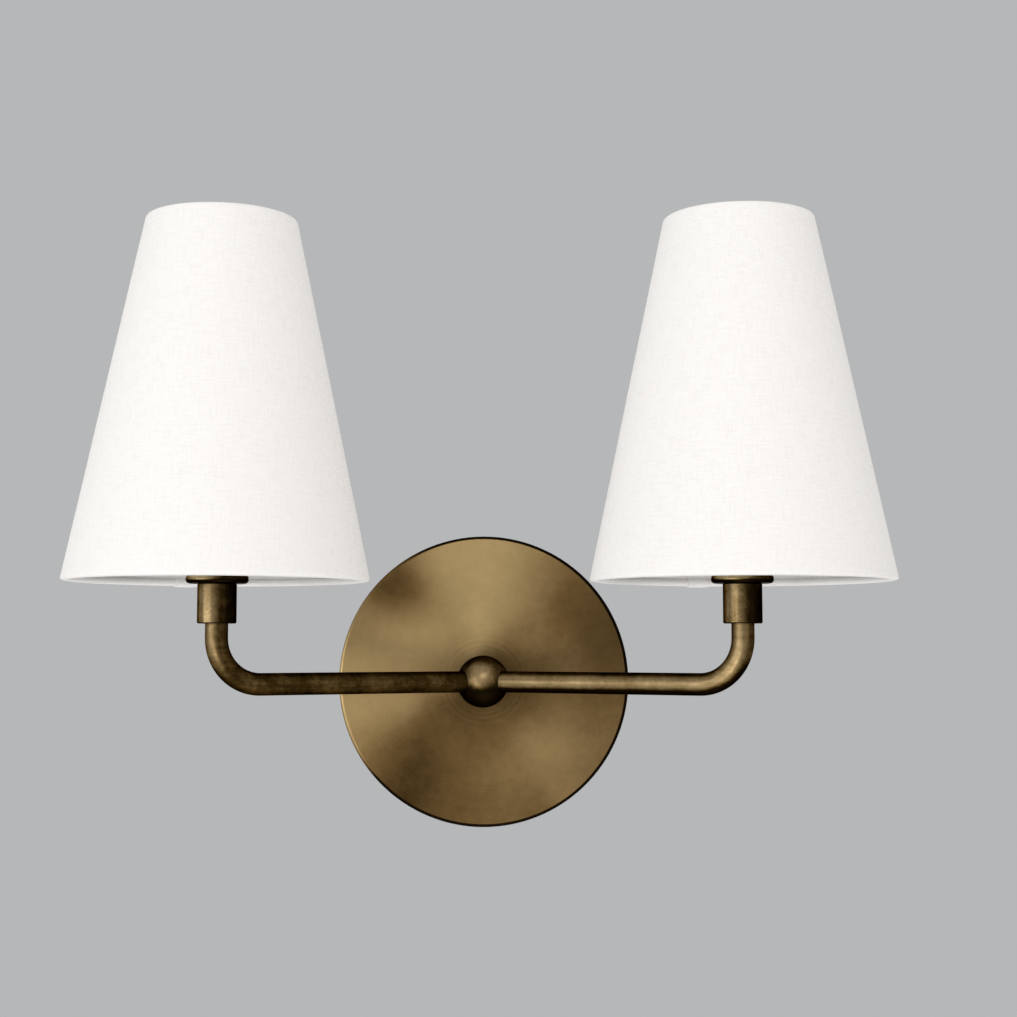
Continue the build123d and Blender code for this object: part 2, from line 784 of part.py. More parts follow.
# ------------------------------------------------------------------ export
pieces = {
    "wall_bracket": wall_bracket.part,
    "canopy": canopy.part,
    "canopy_side_screws": canopy_side_screws.part,
    "ground_screw": ground_screw.part,
    "ground_terminals": ground_terminals.part,
    "ground_lead": ground_lead,
    "canopy_nipple": canopy_nipple.part,
    "canopy_washer": canopy_washer.part,
    "canopy_nut": canopy_nut.part,
    "neck_collar": neck_collar.part,
    "hub_ball": hub_ball.part,
    "wire_connectors": wire_connectors.part,
}
for name, side in sides.items():
    pieces[f"{name}_arm"] = build_arm(side)
    pieces[f"{name}_cup"] = build_cup(side)
    pieces[f"{name}_flange"] = build_flange(side)
    pieces[f"{name}_arm_nipple"] = build_arm_nipple(side)
    pieces[f"{name}_socket_body"] = build_socket_body(side)
    pieces[f"{name}_socket_shell"] = build_socket_shell(side)
    pieces[f"{name}_socket_contact"] = build_socket_contact(side)
    pieces[f"{name}_seat_ring"] = build_thread_ring(side, hub_base_height - ring_height)
    pieces[f"{name}_clamp_ring"] = build_thread_ring(side, hub_base_height + hub_thickness)
    pieces[f"{name}_bulb_cap"] = build_bulb_cap(side)
    pieces[f"{name}_bulb_tip"] = build_bulb_tip(side)
    pieces[f"{name}_bulb_glass"] = build_bulb_glass(side)
    pieces[f"{name}_bulb_filament"] = build_bulb_filament(side)
    pieces[f"{name}_shade_hub"] = build_shade_hub(side)
    pieces[f"{name}_shade_frame"] = build_shade_frame(side)
    pieces[f"{name}_shade_top_ring"] = build_shade_top_ring(side)
    pieces[f"{name}_shade_liner"] = build_shade_liner(side)
    pieces[f"{name}_shade_fabric"] = build_shade_fabric(side)
    pieces[f"{name}_live_lead"] = build_lead(side, 1)
    pieces[f"{name}_neutral_lead"] = build_lead(side, -1)

os.makedirs("parts", exist_ok=True)
for name, piece in pieces.items():
    piece.label = name
    export_step(piece, f"parts/{name}.step")
print(len(pieces), "pieces")
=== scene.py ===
# %% [markdown]
# # A double arm wall sconce, dressed for a portrait
#
# The sconce is already built as metal, card and glass solids. They are loaded here as a fixed
# frame, and this script gives each one its finish, makes the cloth of the shades, and adds the
# small turned detail that a solid model leaves plain. Everything is in metres, with +Z up, the
# wall at y = 0 and the room towards -Y.

# %% Load the fixed frame
import json
from math import atan2, cos, degrees, hypot, pi, radians, sin

import bpy
from mathutils import Euler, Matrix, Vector


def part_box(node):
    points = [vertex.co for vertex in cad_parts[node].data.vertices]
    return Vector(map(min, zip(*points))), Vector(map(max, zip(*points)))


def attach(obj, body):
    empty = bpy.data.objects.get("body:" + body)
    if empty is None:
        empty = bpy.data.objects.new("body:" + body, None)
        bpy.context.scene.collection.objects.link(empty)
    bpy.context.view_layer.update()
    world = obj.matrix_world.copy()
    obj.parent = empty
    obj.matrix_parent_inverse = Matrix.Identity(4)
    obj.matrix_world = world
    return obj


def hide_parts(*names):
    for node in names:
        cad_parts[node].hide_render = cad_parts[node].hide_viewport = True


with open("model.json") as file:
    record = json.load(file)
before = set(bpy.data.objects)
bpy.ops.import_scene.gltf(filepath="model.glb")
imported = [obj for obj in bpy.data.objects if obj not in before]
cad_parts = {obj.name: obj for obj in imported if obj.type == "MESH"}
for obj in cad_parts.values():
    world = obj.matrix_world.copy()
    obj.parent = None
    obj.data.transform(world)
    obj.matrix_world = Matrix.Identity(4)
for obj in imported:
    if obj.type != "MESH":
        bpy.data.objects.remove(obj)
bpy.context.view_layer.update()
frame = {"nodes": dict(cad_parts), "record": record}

nodes = frame["nodes"]

# %% [markdown]
# ## The camera
#
# The picture was taken about 70 cm from the lamps, a little above the canopy's centre, with the
# camera tilted up. A tilt makes upright lines lean together, which the shades do in the picture,
# so the camera is tilted here too and its lens isn't shifted. Its place and focal length come
# from a least squares fit of the canopy, the ball, the cups and the shade corners.

# %% Place the camera
picture_width = 1017
focal_pixels = 1662.0
sensor_width = 36.0
camera_place = (0.0175, -0.7890, 0.0168)
camera_tilt = 4.67
camera_turn = 0.45


def link_object(name, data):
    """Put a new object with this data into the scene."""
    thing = bpy.data.objects.new(name, data)
    bpy.context.scene.collection.objects.link(thing)
    return thing


camera_data = bpy.data.cameras.new("portrait_camera")
camera_data.sensor_width = sensor_width
camera_data.lens = sensor_width * focal_pixels / picture_width
camera_data.clip_start = 0.01
camera = link_object("portrait_camera", camera_data)
camera.location = camera_place
camera.rotation_euler = Euler((radians(90 + camera_tilt), 0, radians(camera_turn)), "XYZ")
bpy.context.scene.camera = camera
bpy.context.scene.view_settings.view_transform = "Standard"
print("lens", round(camera_data.lens, 2), "mm")

# %% [markdown]
# ## A small kit for shader nodes
#
# A finish is a chain of small patterns: clouds, scratches, rings. Writing each node by hand is
# long, so these helpers add a node, feed its inputs with numbers or with other nodes, and hand
# back its output. Every pattern reads the piece's own object coordinates, so it stays put when
# the piece moves.

# %% Helpers that add nodes
def feed(tree, socket, value):
    """Set an input to a number or colour, or join another node's output to it."""
    if isinstance(value, bpy.types.NodeSocket):
        tree.links.new(value, socket)
    else:
        socket.default_value = value


def add_node(tree, kind, inputs=None, **settings):
    node = tree.nodes.new(kind)
    for key, value in settings.items():
        setattr(node, key, value)
    for key, value in (inputs or {}).items():
        feed(tree, node.inputs[key], value)
    return node


def math_node(tree, operation, *values, clamp=False):
    node = add_node(tree, "ShaderNodeMath", operation=operation, use_clamp=clamp)
    for socket, value in zip(node.inputs, values):
        feed(tree, socket, value)
    return node.outputs[0]


def vector_node(tree, operation, *values, output="Vector"):
    node = add_node(tree, "ShaderNodeVectorMath", operation=operation)
    for socket, value in zip(node.inputs, values):
        feed(tree, socket, value)
    return node.outputs[output]


def dot(tree, first, second):
    return vector_node(tree, "DOT_PRODUCT", first, second, output="Value")


def scaled(tree, vector, factor):
    """A vector times one number."""
    inputs = {0: vector, "Scale": factor}
    return add_node(tree, "ShaderNodeVectorMath", inputs, operation="SCALE").outputs[0]


def split(tree, vector):
    return add_node(tree, "ShaderNodeSeparateXYZ", {0: vector}).outputs


def join(tree, x=0.0, y=0.0, z=0.0):
    return add_node(tree, "ShaderNodeCombineXYZ", {"X": x, "Y": y, "Z": z}).outputs[0]


print("node helpers ready")

# %% Helpers for patterns
def total(tree, first, *others):
    for other in others:
        first = math_node(tree, "ADD", first, other)
    return first


def swing(tree, value, depth):
    """Turn a pattern of 0..1 into one that swings by depth, half of it above 0 and half below."""
    return math_node(tree, "MULTIPLY_ADD", value, depth, -depth / 2)


def spread(tree, value, low, high, to_low=0.0, to_high=1.0):
    """Map low..high smoothly onto to_low..to_high."""
    inputs = {"Value": value, "From Min": low, "From Max": high, "To Min": to_low, "To Max": to_high}
    return add_node(tree, "ShaderNodeMapRange", inputs, interpolation_type="SMOOTHSTEP").outputs[0]


def noise(tree, place, scale, detail=3.0, stretch=(1, 1, 1), roughness=0.5):
    mapping = add_node(tree, "ShaderNodeMapping", {"Vector": place, "Scale": stretch})
    inputs = {"Vector": mapping.outputs[0], "Scale": scale, "Detail": detail, "Roughness": roughness}
    return add_node(tree, "ShaderNodeTexNoise", inputs).outputs["Fac"]


def ring_noise(tree, radius, scale, detail):
    """Noise along one line, which is the distance from an axis, so it makes rings."""
    inputs = {"W": radius, "Scale": scale, "Detail": detail}
    return add_node(tree, "ShaderNodeTexNoise", inputs, noise_dimensions="1D").outputs["Fac"]


def bump(tree, height, distance, strength=1.0, under=None):
    """Relief of a height pattern, on top of another relief's normal where one is given."""
    inputs = {"Height": height, "Distance": distance, "Strength": strength}
    if under is not None:
        inputs["Normal"] = under
    return add_node(tree, "ShaderNodeBump", inputs).outputs[0]


print("pattern helpers ready")

# %% Helpers for colours
def ramp(tree, value, stops):
    """Colour ramp from (position, (red, green, blue)) stops."""
    node = add_node(tree, "ShaderNodeValToRGB", {"Fac": value})
    elements = node.color_ramp.elements
    while len(elements) < len(stops):
        elements.new(0.5)
    for element, (position, colour) in zip(elements, stops):
        element.position = position
        element.color = (*colour, 1)
    return node.outputs["Color"]


def linear(red, green, blue):
    """Screen colour 0..255 to the linear colour that a shader wants."""
    values = [v / 255 for v in (red, green, blue)]
    return tuple(v / 12.92 if v <= 0.04045 else ((v + 0.055) / 1.055) ** 2.4 for v in values)


def two_tones(tree, value, dark, light):
    """Colour of a pattern between two screen colours."""
    return ramp(tree, value, [(0.3, linear(*dark)), (0.7, linear(*light))])


def new_finish(name):
    """A fresh material: its tree, its surface shader and the piece's object coordinates."""
    material = bpy.data.materials.new(name)
    material.use_nodes = True
    tree = material.node_tree
    shader = tree.nodes["Principled BSDF"]
    place = add_node(tree, "ShaderNodeTexCoord").outputs["Object"]
    return material, tree, shader, place


print("white as a shader sees it", linear(255, 255, 255))

# %% [markdown]
# ## The stage
#
# A wall light hangs high, so the floor lies well below it. It only has to be plain and pale. It
# fades into the world's own colour, so that no horizon cuts the picture behind the sconce. The
# world has two values: what the camera and the metal see, and the softer light that falls on
# the object.

# %% The world
backdrop_grey = linear(182, 183, 184)
soft_light_colour = (1, 0.99, 0.98)
soft_light_strength = 0.77
world = bpy.data.worlds.new("studio")
bpy.context.scene.world = world
world.use_nodes = True
tree = world.node_tree
soft_light = tree.nodes["Background"]
soft_light.inputs["Color"].default_value = (*soft_light_colour, 1)
soft_light.inputs["Strength"].default_value = soft_light_strength
backdrop = add_node(tree, "ShaderNodeBackground", {"Color": (*backdrop_grey, 1), "Strength": 1.0})


def seen_directly(tree):
    """1 for rays from the camera, from gloss and through glass, 0 for diffuse light."""
    path = add_node(tree, "ShaderNodeLightPath").outputs
    either = math_node(tree, "MAXIMUM", path["Is Camera Ray"], path["Is Glossy Ray"])
    return math_node(tree, "MAXIMUM", either, path["Is Transmission Ray"])


def mix_shaders(tree, factor, first, second, surface):
    mixed = add_node(tree, "ShaderNodeMixShader", {"Fac": factor})
    tree.links.new(first, mixed.inputs[1])
    tree.links.new(second, mixed.inputs[2])
    tree.links.new(mixed.outputs[0], surface)


world_surface = tree.nodes["World Output"].inputs["Surface"]
mix_shaders(tree, seen_directly(tree), soft_light.outputs[0], backdrop.outputs[0], world_surface)
print("backdrop", [round(v, 3) for v in backdrop_grey])

# %% The floor
floor_level = -0.90
floor_half = 7.0
fade_start = 1.1
fade_end = 2.6
corners = [(x * floor_half, y * floor_half, floor_level) for x, y in ((-1, -1), (1, -1), (1, 1), (-1, 1))]
floor_mesh = bpy.data.meshes.new("floor")
floor_mesh.from_pydata(corners, [], [(0, 1, 2, 3)])
floor = link_object("floor", floor_mesh)

floor_finish, tree, shader, place = new_finish("pale_floor")
shader.inputs["Roughness"].default_value = 0.9
floor_grain = noise(tree, place, scale=400, detail=2)
floor_colour = two_tones(tree, floor_grain, (222, 223, 224), (225, 226, 227))
feed(tree, shader.inputs["Base Color"], floor_colour)
distance = vector_node(tree, "LENGTH", place, output="Value")
fade = spread(tree, distance, fade_start, fade_end)
fade = math_node(tree, "MULTIPLY", fade, seen_directly(tree))
glow = add_node(tree, "ShaderNodeEmission", {"Color": (*backdrop_grey, 1), "Strength": 1.0})
floor_surface = tree.nodes["Material Output"].inputs["Surface"]
mix_shaders(tree, fade, shader.outputs[0], glow.outputs[0], floor_surface)
floor_mesh.materials.append(floor_finish)
print("floor at", floor_level, "m")

# %% [markdown]
# ## The lamps
#
# In the picture the shades are brightest on their left and turn warm grey to the right, so the
# large soft lamp stands to the left and in front, at the sconce's own height: the right arm, which
# turns its side to the left, catches it along its middle. Two low lamps look up into the shades,
# one from the front and one from below, and light their rolled hems and far inner walls. A weaker
# one fills from the right, and one above the camera draws the bright spot on the ball's upper half.

# %% Soft lamps
soft_lamps = [
    # name, place, target, width, height, watts, colour
    ("key_lamp", (-1.45, -1.25, 0.14), (0, -0.05, 0.05), 1.5, 1.0, 5.95, (1, 1, 1)),
    ("low_lamp", (-0.50, -1.30, -0.50), (0, -0.09, 0.04), 0.7, 0.4, 3.25, (1, 0.99, 0.97)),
    ("under_lamp", (0.10, -0.35, -0.80), (0, -0.10, 0.04), 0.5, 0.4, 1.5, (1, 0.99, 0.98)),
    ("fill_lamp", (1.30, -1.30, 0.25), (0, -0.05, 0.05), 0.8, 0.8, 3.0, (1, 0.94, 0.88)),
    ("upper_front_lamp", (0.0, -1.35, 0.70), (0, -0.06, 0.02), 0.6, 0.3, 2.0, (1, 0.98, 0.95)),
]
for name, lamp_place, target, width, height, watts, colour in soft_lamps:
    light = bpy.data.lights.new(name, "AREA")
    light.shape = "RECTANGLE"
    light.size = width
    light.size_y = height
    light.energy = watts
    light.color = colour
    lamp = link_object(name, light)
    lamp.location = lamp_place
    lamp.rotation_euler = (Vector(target) - Vector(lamp_place)).to_track_quat("-Z", "Y").to_euler()
print("lamps", len(soft_lamps))

# %% [markdown]
# ## Aged brass
#
# The canopy, ball, arms and cups are brass that was darkened in a bath, rubbed back and
# lacquered. Rubbing leaves clouds of lighter and darker brown. A picture of old metal wrapped
# round the pieces would repeat and show seams, so noise in the piece's own space makes the
# clouds. The darker undersides and crowns and the lighter fronts set further down are not
# rubbing: they are painted shade and painted highlight. Metal has no colour of its own apart
# from what it reflects, so one tone value, from 0 for almost black to 1 for bright, picks the
# reflected colour and, a little, the roughness.

# %% Brass colours and shared clouds
brass_stops = [
    (0.0, linear(24, 17, 9)),
    (0.16, linear(66, 48, 23)),
    (0.38, linear(116, 92, 56)),
    (0.64, linear(168, 141, 96)),
    (1.0, linear(218, 188, 132)),
]
worn_stops = [
    (0.0, linear(22, 15, 5)),
    (0.16, linear(62, 46, 20)),
    (0.38, linear(118, 97, 62)),
    (0.64, linear(172, 148, 108)),
    (1.0, linear(222, 200, 156)),
]
lacquer_tint = (0.30, 0.24, 0.17, 1)
brushing_depth = 0.00002
mottle_ratio = 7
speck_scale = 1500
speck_limits = (0.68, 0.76)
speck_tone = -0.20
polish_limits = (0.1, 0.9)


def brass_clouds(tree, place, scale, slow_depth, fine_depth):
    """Slow clouds with finer mottling in them, about 0 on average, and a few dark specks."""
    slow = noise(tree, place, scale, detail=2.0)
    fine = noise(tree, place, scale * mottle_ratio, detail=4.0, roughness=0.6)
    specks = noise(tree, place, speck_scale, detail=1.0)
    specks = spread(tree, specks, *speck_limits, 0.0, speck_tone)
    return total(tree, swing(tree, slow, slow_depth), swing(tree, fine, fine_depth), specks)


def finish_brass(tree, shader, tone, relief, smooth, rough, stops):
    """Colour, roughness and bump of the lacquered brass from one tone value."""
    tone = math_node(tree, "MULTIPLY", tone, 1.0, clamp=True)
    feed(tree, shader.inputs["Base Color"], ramp(tree, tone, stops))
    feed(tree, shader.inputs["Roughness"], spread(tree, tone, *polish_limits, rough, smooth))
    feed(tree, shader.inputs["Normal"], bump(tree, relief, brushing_depth))
    shader.inputs["Metallic"].default_value = 1.0
    shader.inputs["Specular Tint"].default_value = lacquer_tint


print("brass stops", len(brass_stops))

# %% [markdown]
# The canopy was spun on a lathe and rubbed while it turned. That leaves faint rings round its
# centre. The broad fans of light and shade between the middle and the rim are painted light:
# the bright ones are painted reflections of the lamps along the spun grain, the dark ones are
# painted shade, and the dark ones that fade outwards from the centre are painted shade round
# the ball and arms. A fan is a direction: the closer a point's direction from the centre is to
# the fan's, the stronger it is. Each fan here has a direction, a sharpness, the shares of the
# radius where it starts and where it is full, and a strength. One that is full nearer the
# centre than it starts fades outwards.

# %% Sizes and painted light fans of the canopy's finish
canopy_radius = 0.066675
canopy_tone = 0.57
painted_light_fans = [
    # direction in degrees, sharpness, where it starts, where it is full, strength
    (100, 6, 0.00, 0.45, 0.26),
    (168, 7, 0.10, 0.60, 0.20),
    (-48, 5, 0.30, 0.70, 0.06),
    (-78, 3, 0.45, 0.95, -0.21),
    (-168, 16, 0.30, 0.60, 0.04),
    (136, 14, 0.42, 0.95, -0.46),
    (-134, 8, 0.25, 0.80, -0.31),
    (30, 8, 0.25, 0.90, -0.30),
    (-12, 12, 0.10, 0.60, -0.14),
    (-115, 2, 1.00, 0.10, -0.30),
    (30, 3, 0.70, 0.10, -0.26),
    (-35, 3, 0.60, 0.10, -0.22),
]
fan_bend = 0.030
lathe_ring_depth = 0.10
tool_mark_depth = 0.09
tool_mark_reach = (0.013, 0.030)
print("fans", len(painted_light_fans))

# %% Painted light fans and lathe rings of the canopy
spun_brass, tree, shader, place = new_finish("spun_brass")
axes = split(tree, place)
flat = join(tree, x=axes["X"], z=axes["Z"])
radius = vector_node(tree, "LENGTH", flat, output="Value")
bend = add_node(tree, "ShaderNodeTexNoise", {"Vector": place, "Scale": 18.0, "Detail": 1.0})
bend = vector_node(tree, "SUBTRACT", bend.outputs["Color"], (0.5, 0.5, 0.5))
heading = vector_node(tree, "NORMALIZE", vector_node(tree, "ADD", flat, scaled(tree, bend, fan_bend)))
clouds = brass_clouds(tree, place, scale=34, slow_depth=0.20, fine_depth=0.12)
tone = total(tree, clouds, canopy_tone)
# Each fan adds a painted highlight or a painted shade to the tone.
for angle, sharpness, start, full, strength in painted_light_fans:
    fan = (cos(radians(angle)), 0, sin(radians(angle)))
    near = math_node(tree, "MAXIMUM", dot(tree, heading, fan), 0.0)
    near = math_node(tree, "POWER", near, float(sharpness))
    rise = spread(tree, radius, start * canopy_radius, full * canopy_radius, 0.0, strength)
    tone = math_node(tree, "MULTIPLY_ADD", near, rise, tone)

lathe_rings = ring_noise(tree, radius, scale=2600.0, detail=2.0)
tool_marks = ring_noise(tree, radius, scale=800.0, detail=1.0)
tool_marks = math_node(tree, "SUBTRACT", tool_marks, 0.5)
mark_strength = spread(tree, radius, *tool_mark_reach, tool_mark_depth, 0.0)
tool_marks = math_node(tree, "MULTIPLY", tool_marks, mark_strength)
tone = total(tree, tone, swing(tree, lathe_rings, lathe_ring_depth), tool_marks)
print("canopy nodes so far", len(tree.nodes))

# %% Rim of the canopy, its painted shade and highlight, and its finish
rim_radii = (0.0650, 0.0658)
rim_front = (-0.0190, -0.0165)
rim_side_share = 0.40
rim_lit_way = (-0.98, 0, 0.20)
rim_turn = (0.45, 0.85)
rim_painted_shade = -0.85
rim_painted_highlight = 0.12

# The rounded front edge is painted dark as shade all round, except towards the key lamp at the left, where
# it is painted light as a highlight.
lit_side = dot(tree, heading, rim_lit_way)
rim_painted_light = spread(tree, lit_side, *rim_turn, rim_painted_shade, rim_painted_highlight)
front_edge = spread(tree, axes["Y"], *rim_front, 1.0, rim_side_share)
on_rim = math_node(tree, "MULTIPLY", spread(tree, radius, *rim_radii), front_edge)
tone = math_node(tree, "MULTIPLY_ADD", on_rim, rim_painted_light, tone)
finish_brass(tree, shader, tone, lathe_rings, smooth=0.36, rough=0.50, stops=brass_stops)
print("canopy finish nodes", len(tree.nodes))

# %% [markdown]
# The turned and bent pieces got the same bath and were rubbed by hand, which leaves their
# clouds. Their almost black undersides, darker crowns and light fronts are painted shade and
# painted highlight, set by the direction that a surface faces, which the Normal output gives in
# the piece's own space. The highlight is strongest on the side that faces the key lamp, and an
# argument says how far round the piece it comes, as a cosine. `low` and `high` say between
# which upward facings, from -1 for down to 1 for up, the painted shade of the underside fades
# out and the painted shade of the crown sets in.

# %% Brass with painted shade and highlight
stroke_scale = 900
stroke_depth = 0.16
level_strokes = (0.06, 0.06, 1)
upright_strokes = (1, 1, 0.08)


def brass_with_painted_light(name, side_tone, painted_underside_shade, crown, painted_highlight, key_light_way, highlight_reach=0.60, strokes=(1, 1, 1),
                 clouds=60, rough=0.46, smooth=0.30, low=(-0.75, -0.10), high=(0.45, 0.95)):
    """Brass with painted shade on its underside and crown, and a painted highlight on the side facing the
    key lamp.
    """
    material, tree, shader, place = new_finish(name)
    facing = add_node(tree, "ShaderNodeTexCoord").outputs["Normal"]
    facing_key_light = dot(tree, facing, key_light_way)
    upwards = split(tree, facing)["Z"]
    brushed = noise(tree, place, stroke_scale, detail=3.0, stretch=strokes)
    # The tone adds random clouds, painted shade on the underside and crown, a painted highlight towards the
    # key lamp, and brushed strokes.
    tone = total(
        tree,
        brass_clouds(tree, place, clouds, slow_depth=0.45, fine_depth=0.30),
        side_tone,
        spread(tree, upwards, *low, -painted_underside_shade, 0.0),
        spread(tree, upwards, *high, 0.0, -crown),
        spread(tree, facing_key_light, highlight_reach, 1.0, 0.0, painted_highlight),
        swing(tree, brushed, stroke_depth),
    )
    finish_brass(tree, shader, tone, brushed, smooth, rough, worn_stops)
    return material


print("strokes", level_strokes, upright_strokes)

# %% Brass of the ball, arms, cups and flanges
# Every piece here carries painted shade and a painted highlight. The arms and the cups come as lit and
# shaded copies, each turned to where the key lamp falls on it.
ball_brass = brass_with_painted_light(
    "ball_brass", side_tone=0.20, painted_underside_shade=0.50, crown=0.10, painted_highlight=0.38,
    key_light_way=(-0.10, -0.95, 0.30), highlight_reach=0.74, low=(-0.72, 0.05), high=(0.50, 0.80))
left_arm_brass = brass_with_painted_light(
    "left_arm_brass", side_tone=0.20, painted_underside_shade=0.10, crown=0.14, painted_highlight=0.34,
    key_light_way=(-0.50, -0.86, 0.10), highlight_reach=0.58, strokes=level_strokes)
right_arm_brass = brass_with_painted_light(
    "right_arm_brass", side_tone=0.26, painted_underside_shade=0.50, crown=0.22, painted_highlight=0.29,
    key_light_way=(-0.38, -0.92, 0.05), strokes=level_strokes, rough=0.48, low=(-0.80, -0.22))
flange_brass = brass_with_painted_light(
    "flange_brass", side_tone=0.16, painted_underside_shade=0.60, crown=0.0, painted_highlight=0.84,
    key_light_way=(-0.46, -0.81, 0.36), highlight_reach=0.62, clouds=90, rough=0.30, smooth=0.15, low=(-0.40, 0.05))
left_cup_brass, right_cup_brass = [
    brass_with_painted_light(
        f"{side}_cup_brass", side_tone=0.0, painted_underside_shade=0.10, crown=0.04, painted_highlight=0.50,
        key_light_way=key_light_way, highlight_reach=0.58, strokes=upright_strokes, clouds=150, rough=0.32, smooth=0.20)
    for side, key_light_way in (("left", (-0.44, -0.90, 0.0)), ("right", (-0.62, -0.785, 0.0)))
]
print("brass finishes", [finish.name for finish in bpy.data.materials if "brass" in finish.name])

# %% [markdown]
# ## Finishes of the working parts
#
# The hidden parts are ordinary ones: zinc plated steel, plain machined brass, moulded phenolic
# and powder coated wire. Each still gets its own grain, because the sconce may be opened and
# looked at from the wall side. A screw thread could be cut as a mesh, but one this fine looks
# the same as level rings of relief, so the finish draws it.

# %% Plain metals
cap_thread = {"pitch": 0.0025, "depth": 0.0004}
socket_thread = {"pitch": 0.0022, "depth": 0.0005}
grain_ratio = 14
grain_share = 0.4
blotch_share = 0.6


def thread_relief(tree, place, pitch, depth):
    """Rolled screw thread as level rings of relief, one for each pitch of height."""
    height = split(tree, place)["Z"]
    rings = math_node(tree, "SINE", math_node(tree, "MULTIPLY", height, 2 * pi / pitch))
    return bump(tree, rings, depth / 2)


def plain_metal(name, dark, light, smooth, rough, scale, stretch=(1, 1, 1), thread=None):
    """Metal between two screen colours, in blotches of this scale with finer grain over them."""
    material, tree, shader, place = new_finish(name)
    under = thread_relief(tree, place, **thread) if thread else None
    blotch = math_node(tree, "MULTIPLY", noise(tree, place, scale), blotch_share)
    grain = noise(tree, place, scale * grain_ratio, stretch=stretch)
    tone = math_node(tree, "MULTIPLY_ADD", grain, grain_share, blotch)
    feed(tree, shader.inputs["Base Color"], two_tones(tree, tone, dark, light))
    feed(tree, shader.inputs["Roughness"], spread(tree, tone, 0.3, 0.7, rough, smooth))
    feed(tree, shader.inputs["Normal"], bump(tree, grain, brushing_depth, under=under))
    shader.inputs["Metallic"].default_value = 1.0
    return material


zinc = plain_metal("zinc_plate", (150, 152, 150), (206, 207, 202), 0.28, 0.45, 120)
turned_brass = plain_metal("turned_brass", (168, 134, 74), (222, 190, 122), 0.22, 0.38, 90, (0.1, 1, 0.1))
copper = plain_metal("copper_strand", (150, 84, 52), (214, 138, 98), 0.25, 0.4, 200)
cap_metal = plain_metal(
    "bulb_cap_metal", (176, 172, 160), (218, 214, 202), 0.2, 0.34, 150, thread=cap_thread)
green_plate = plain_metal("green_plate", (28, 92, 44), (62, 142, 74), 0.3, 0.5, 140)
filament_metal = plain_metal("coiled_wire_metal", (120, 118, 116), (176, 174, 170), 0.3, 0.5, 400)
print("materials so far", len(bpy.data.materials))

# %% Moulded and coated surfaces
skin_ratio = 16
skin_depth = 0.00003


def moulded(name, dark, light, smooth, rough, scale, thread=None):
    """A coat between two screen colours, in swirls of this scale, with a finely uneven skin."""
    material, tree, shader, place = new_finish(name)
    under = thread_relief(tree, place, **thread) if thread else None
    swirl = noise(tree, place, scale, detail=2.0)
    skin = noise(tree, place, scale * skin_ratio)
    feed(tree, shader.inputs["Base Color"], two_tones(tree, swirl, dark, light))
    feed(tree, shader.inputs["Roughness"], spread(tree, skin, 0.35, 0.65, smooth, rough))
    feed(tree, shader.inputs["Normal"], bump(tree, skin, skin_depth, under=under))
    return material


phenolic = moulded("black_phenolic", (22, 20, 19), (40, 37, 35), 0.32, 0.5, 90, thread=socket_thread)
ring_phenolic = moulded("clamp_ring_phenolic", (26, 24, 22), (46, 42, 40), 0.36, 0.55, 110)
wire_coat = moulded("white_powder_coat", (222, 222, 218), (238, 238, 234), 0.3, 0.48, 200)
connector_skin = moulded("orange_connector", (204, 104, 32), (226, 128, 48), 0.35, 0.5, 120)
black_cover = moulded("black_cover", (24, 24, 25), (42, 42, 44), 0.4, 0.6, 200)
white_cover = moulded("white_cover", (222, 220, 212), (238, 236, 230), 0.4, 0.6, 200)
tip_glass = moulded("tip_insulator", (18, 16, 20), (40, 36, 44), 0.08, 0.16, 200)
liner_card = moulded("liner_card", (242, 240, 236), (248, 247, 244), 0.45, 0.65, 40)
print("materials so far", len(bpy.data.materials))

# %% Clear glass
glass_tint = (0.98, 0.99, 0.98, 1)
glass_index = 1.47
glass_roughness = (0.01, 0.03)
waver_depth = 0.00004

bulb_glass, tree, shader, place = new_finish("bulb_glass")
waver = noise(tree, place, scale=90, detail=2.0)
shader.inputs["Base Color"].default_value = glass_tint
shader.inputs["Transmission Weight"].default_value = 1.0
shader.inputs["IOR"].default_value = glass_index
feed(tree, shader.inputs["Roughness"], spread(tree, waver, 0.3, 0.7, *glass_roughness))
feed(tree, shader.inputs["Normal"], bump(tree, waver, waver_depth))
print("glass", bulb_glass.name)

# %% [markdown]
# A finish reaches a solid through its material slot. Most solids take the finish that the
# record's slot names. The brass ones are told apart by the piece, because the canopy was spun
# and the arms were drawn and bent, and because each arm, cup and flange has its own painted
# highlight and shade.

# %% Give every solid its finish
# Other solids in the aged brass slot take the left cup's brass, with its painted shade and highlight.
finish_of_slot = {
    "aged_brass": left_cup_brass, "bright_brass": turned_brass, "zinc_steel": zinc,
    "green_steel": green_plate, "copper": copper, "black_insulation": black_cover,
    "white_insulation": white_cover, "connector_plastic": connector_skin,
    "socket_phenolic": phenolic, "ring_phenolic": ring_phenolic, "wire_white": wire_coat,
    "liner_plastic": liner_card, "linen": liner_card, "cap_metal": cap_metal,
    "clear_glass": bulb_glass, "tip_glass": tip_glass, "filament_metal": filament_metal,
}
finish_of_piece = {
    "canopy": spun_brass, "hub_ball": ball_brass, "neck_collar": ball_brass,
    "left_arm": left_arm_brass, "right_arm": right_arm_brass,
    "left_cup": left_cup_brass, "right_cup": right_cup_brass,
    "left_flange": flange_brass, "right_flange": flange_brass,
}

slot_of_node = {part["node"]: part["material_slot"] for part in frame["record"]["subparts"]}
for name, solid in nodes.items():
    finish = finish_of_piece.get(name) or finish_of_slot[slot_of_node[name]]
    for slot in solid.material_slots:
        slot.material = finish
print("dressed", len(nodes), "solids")

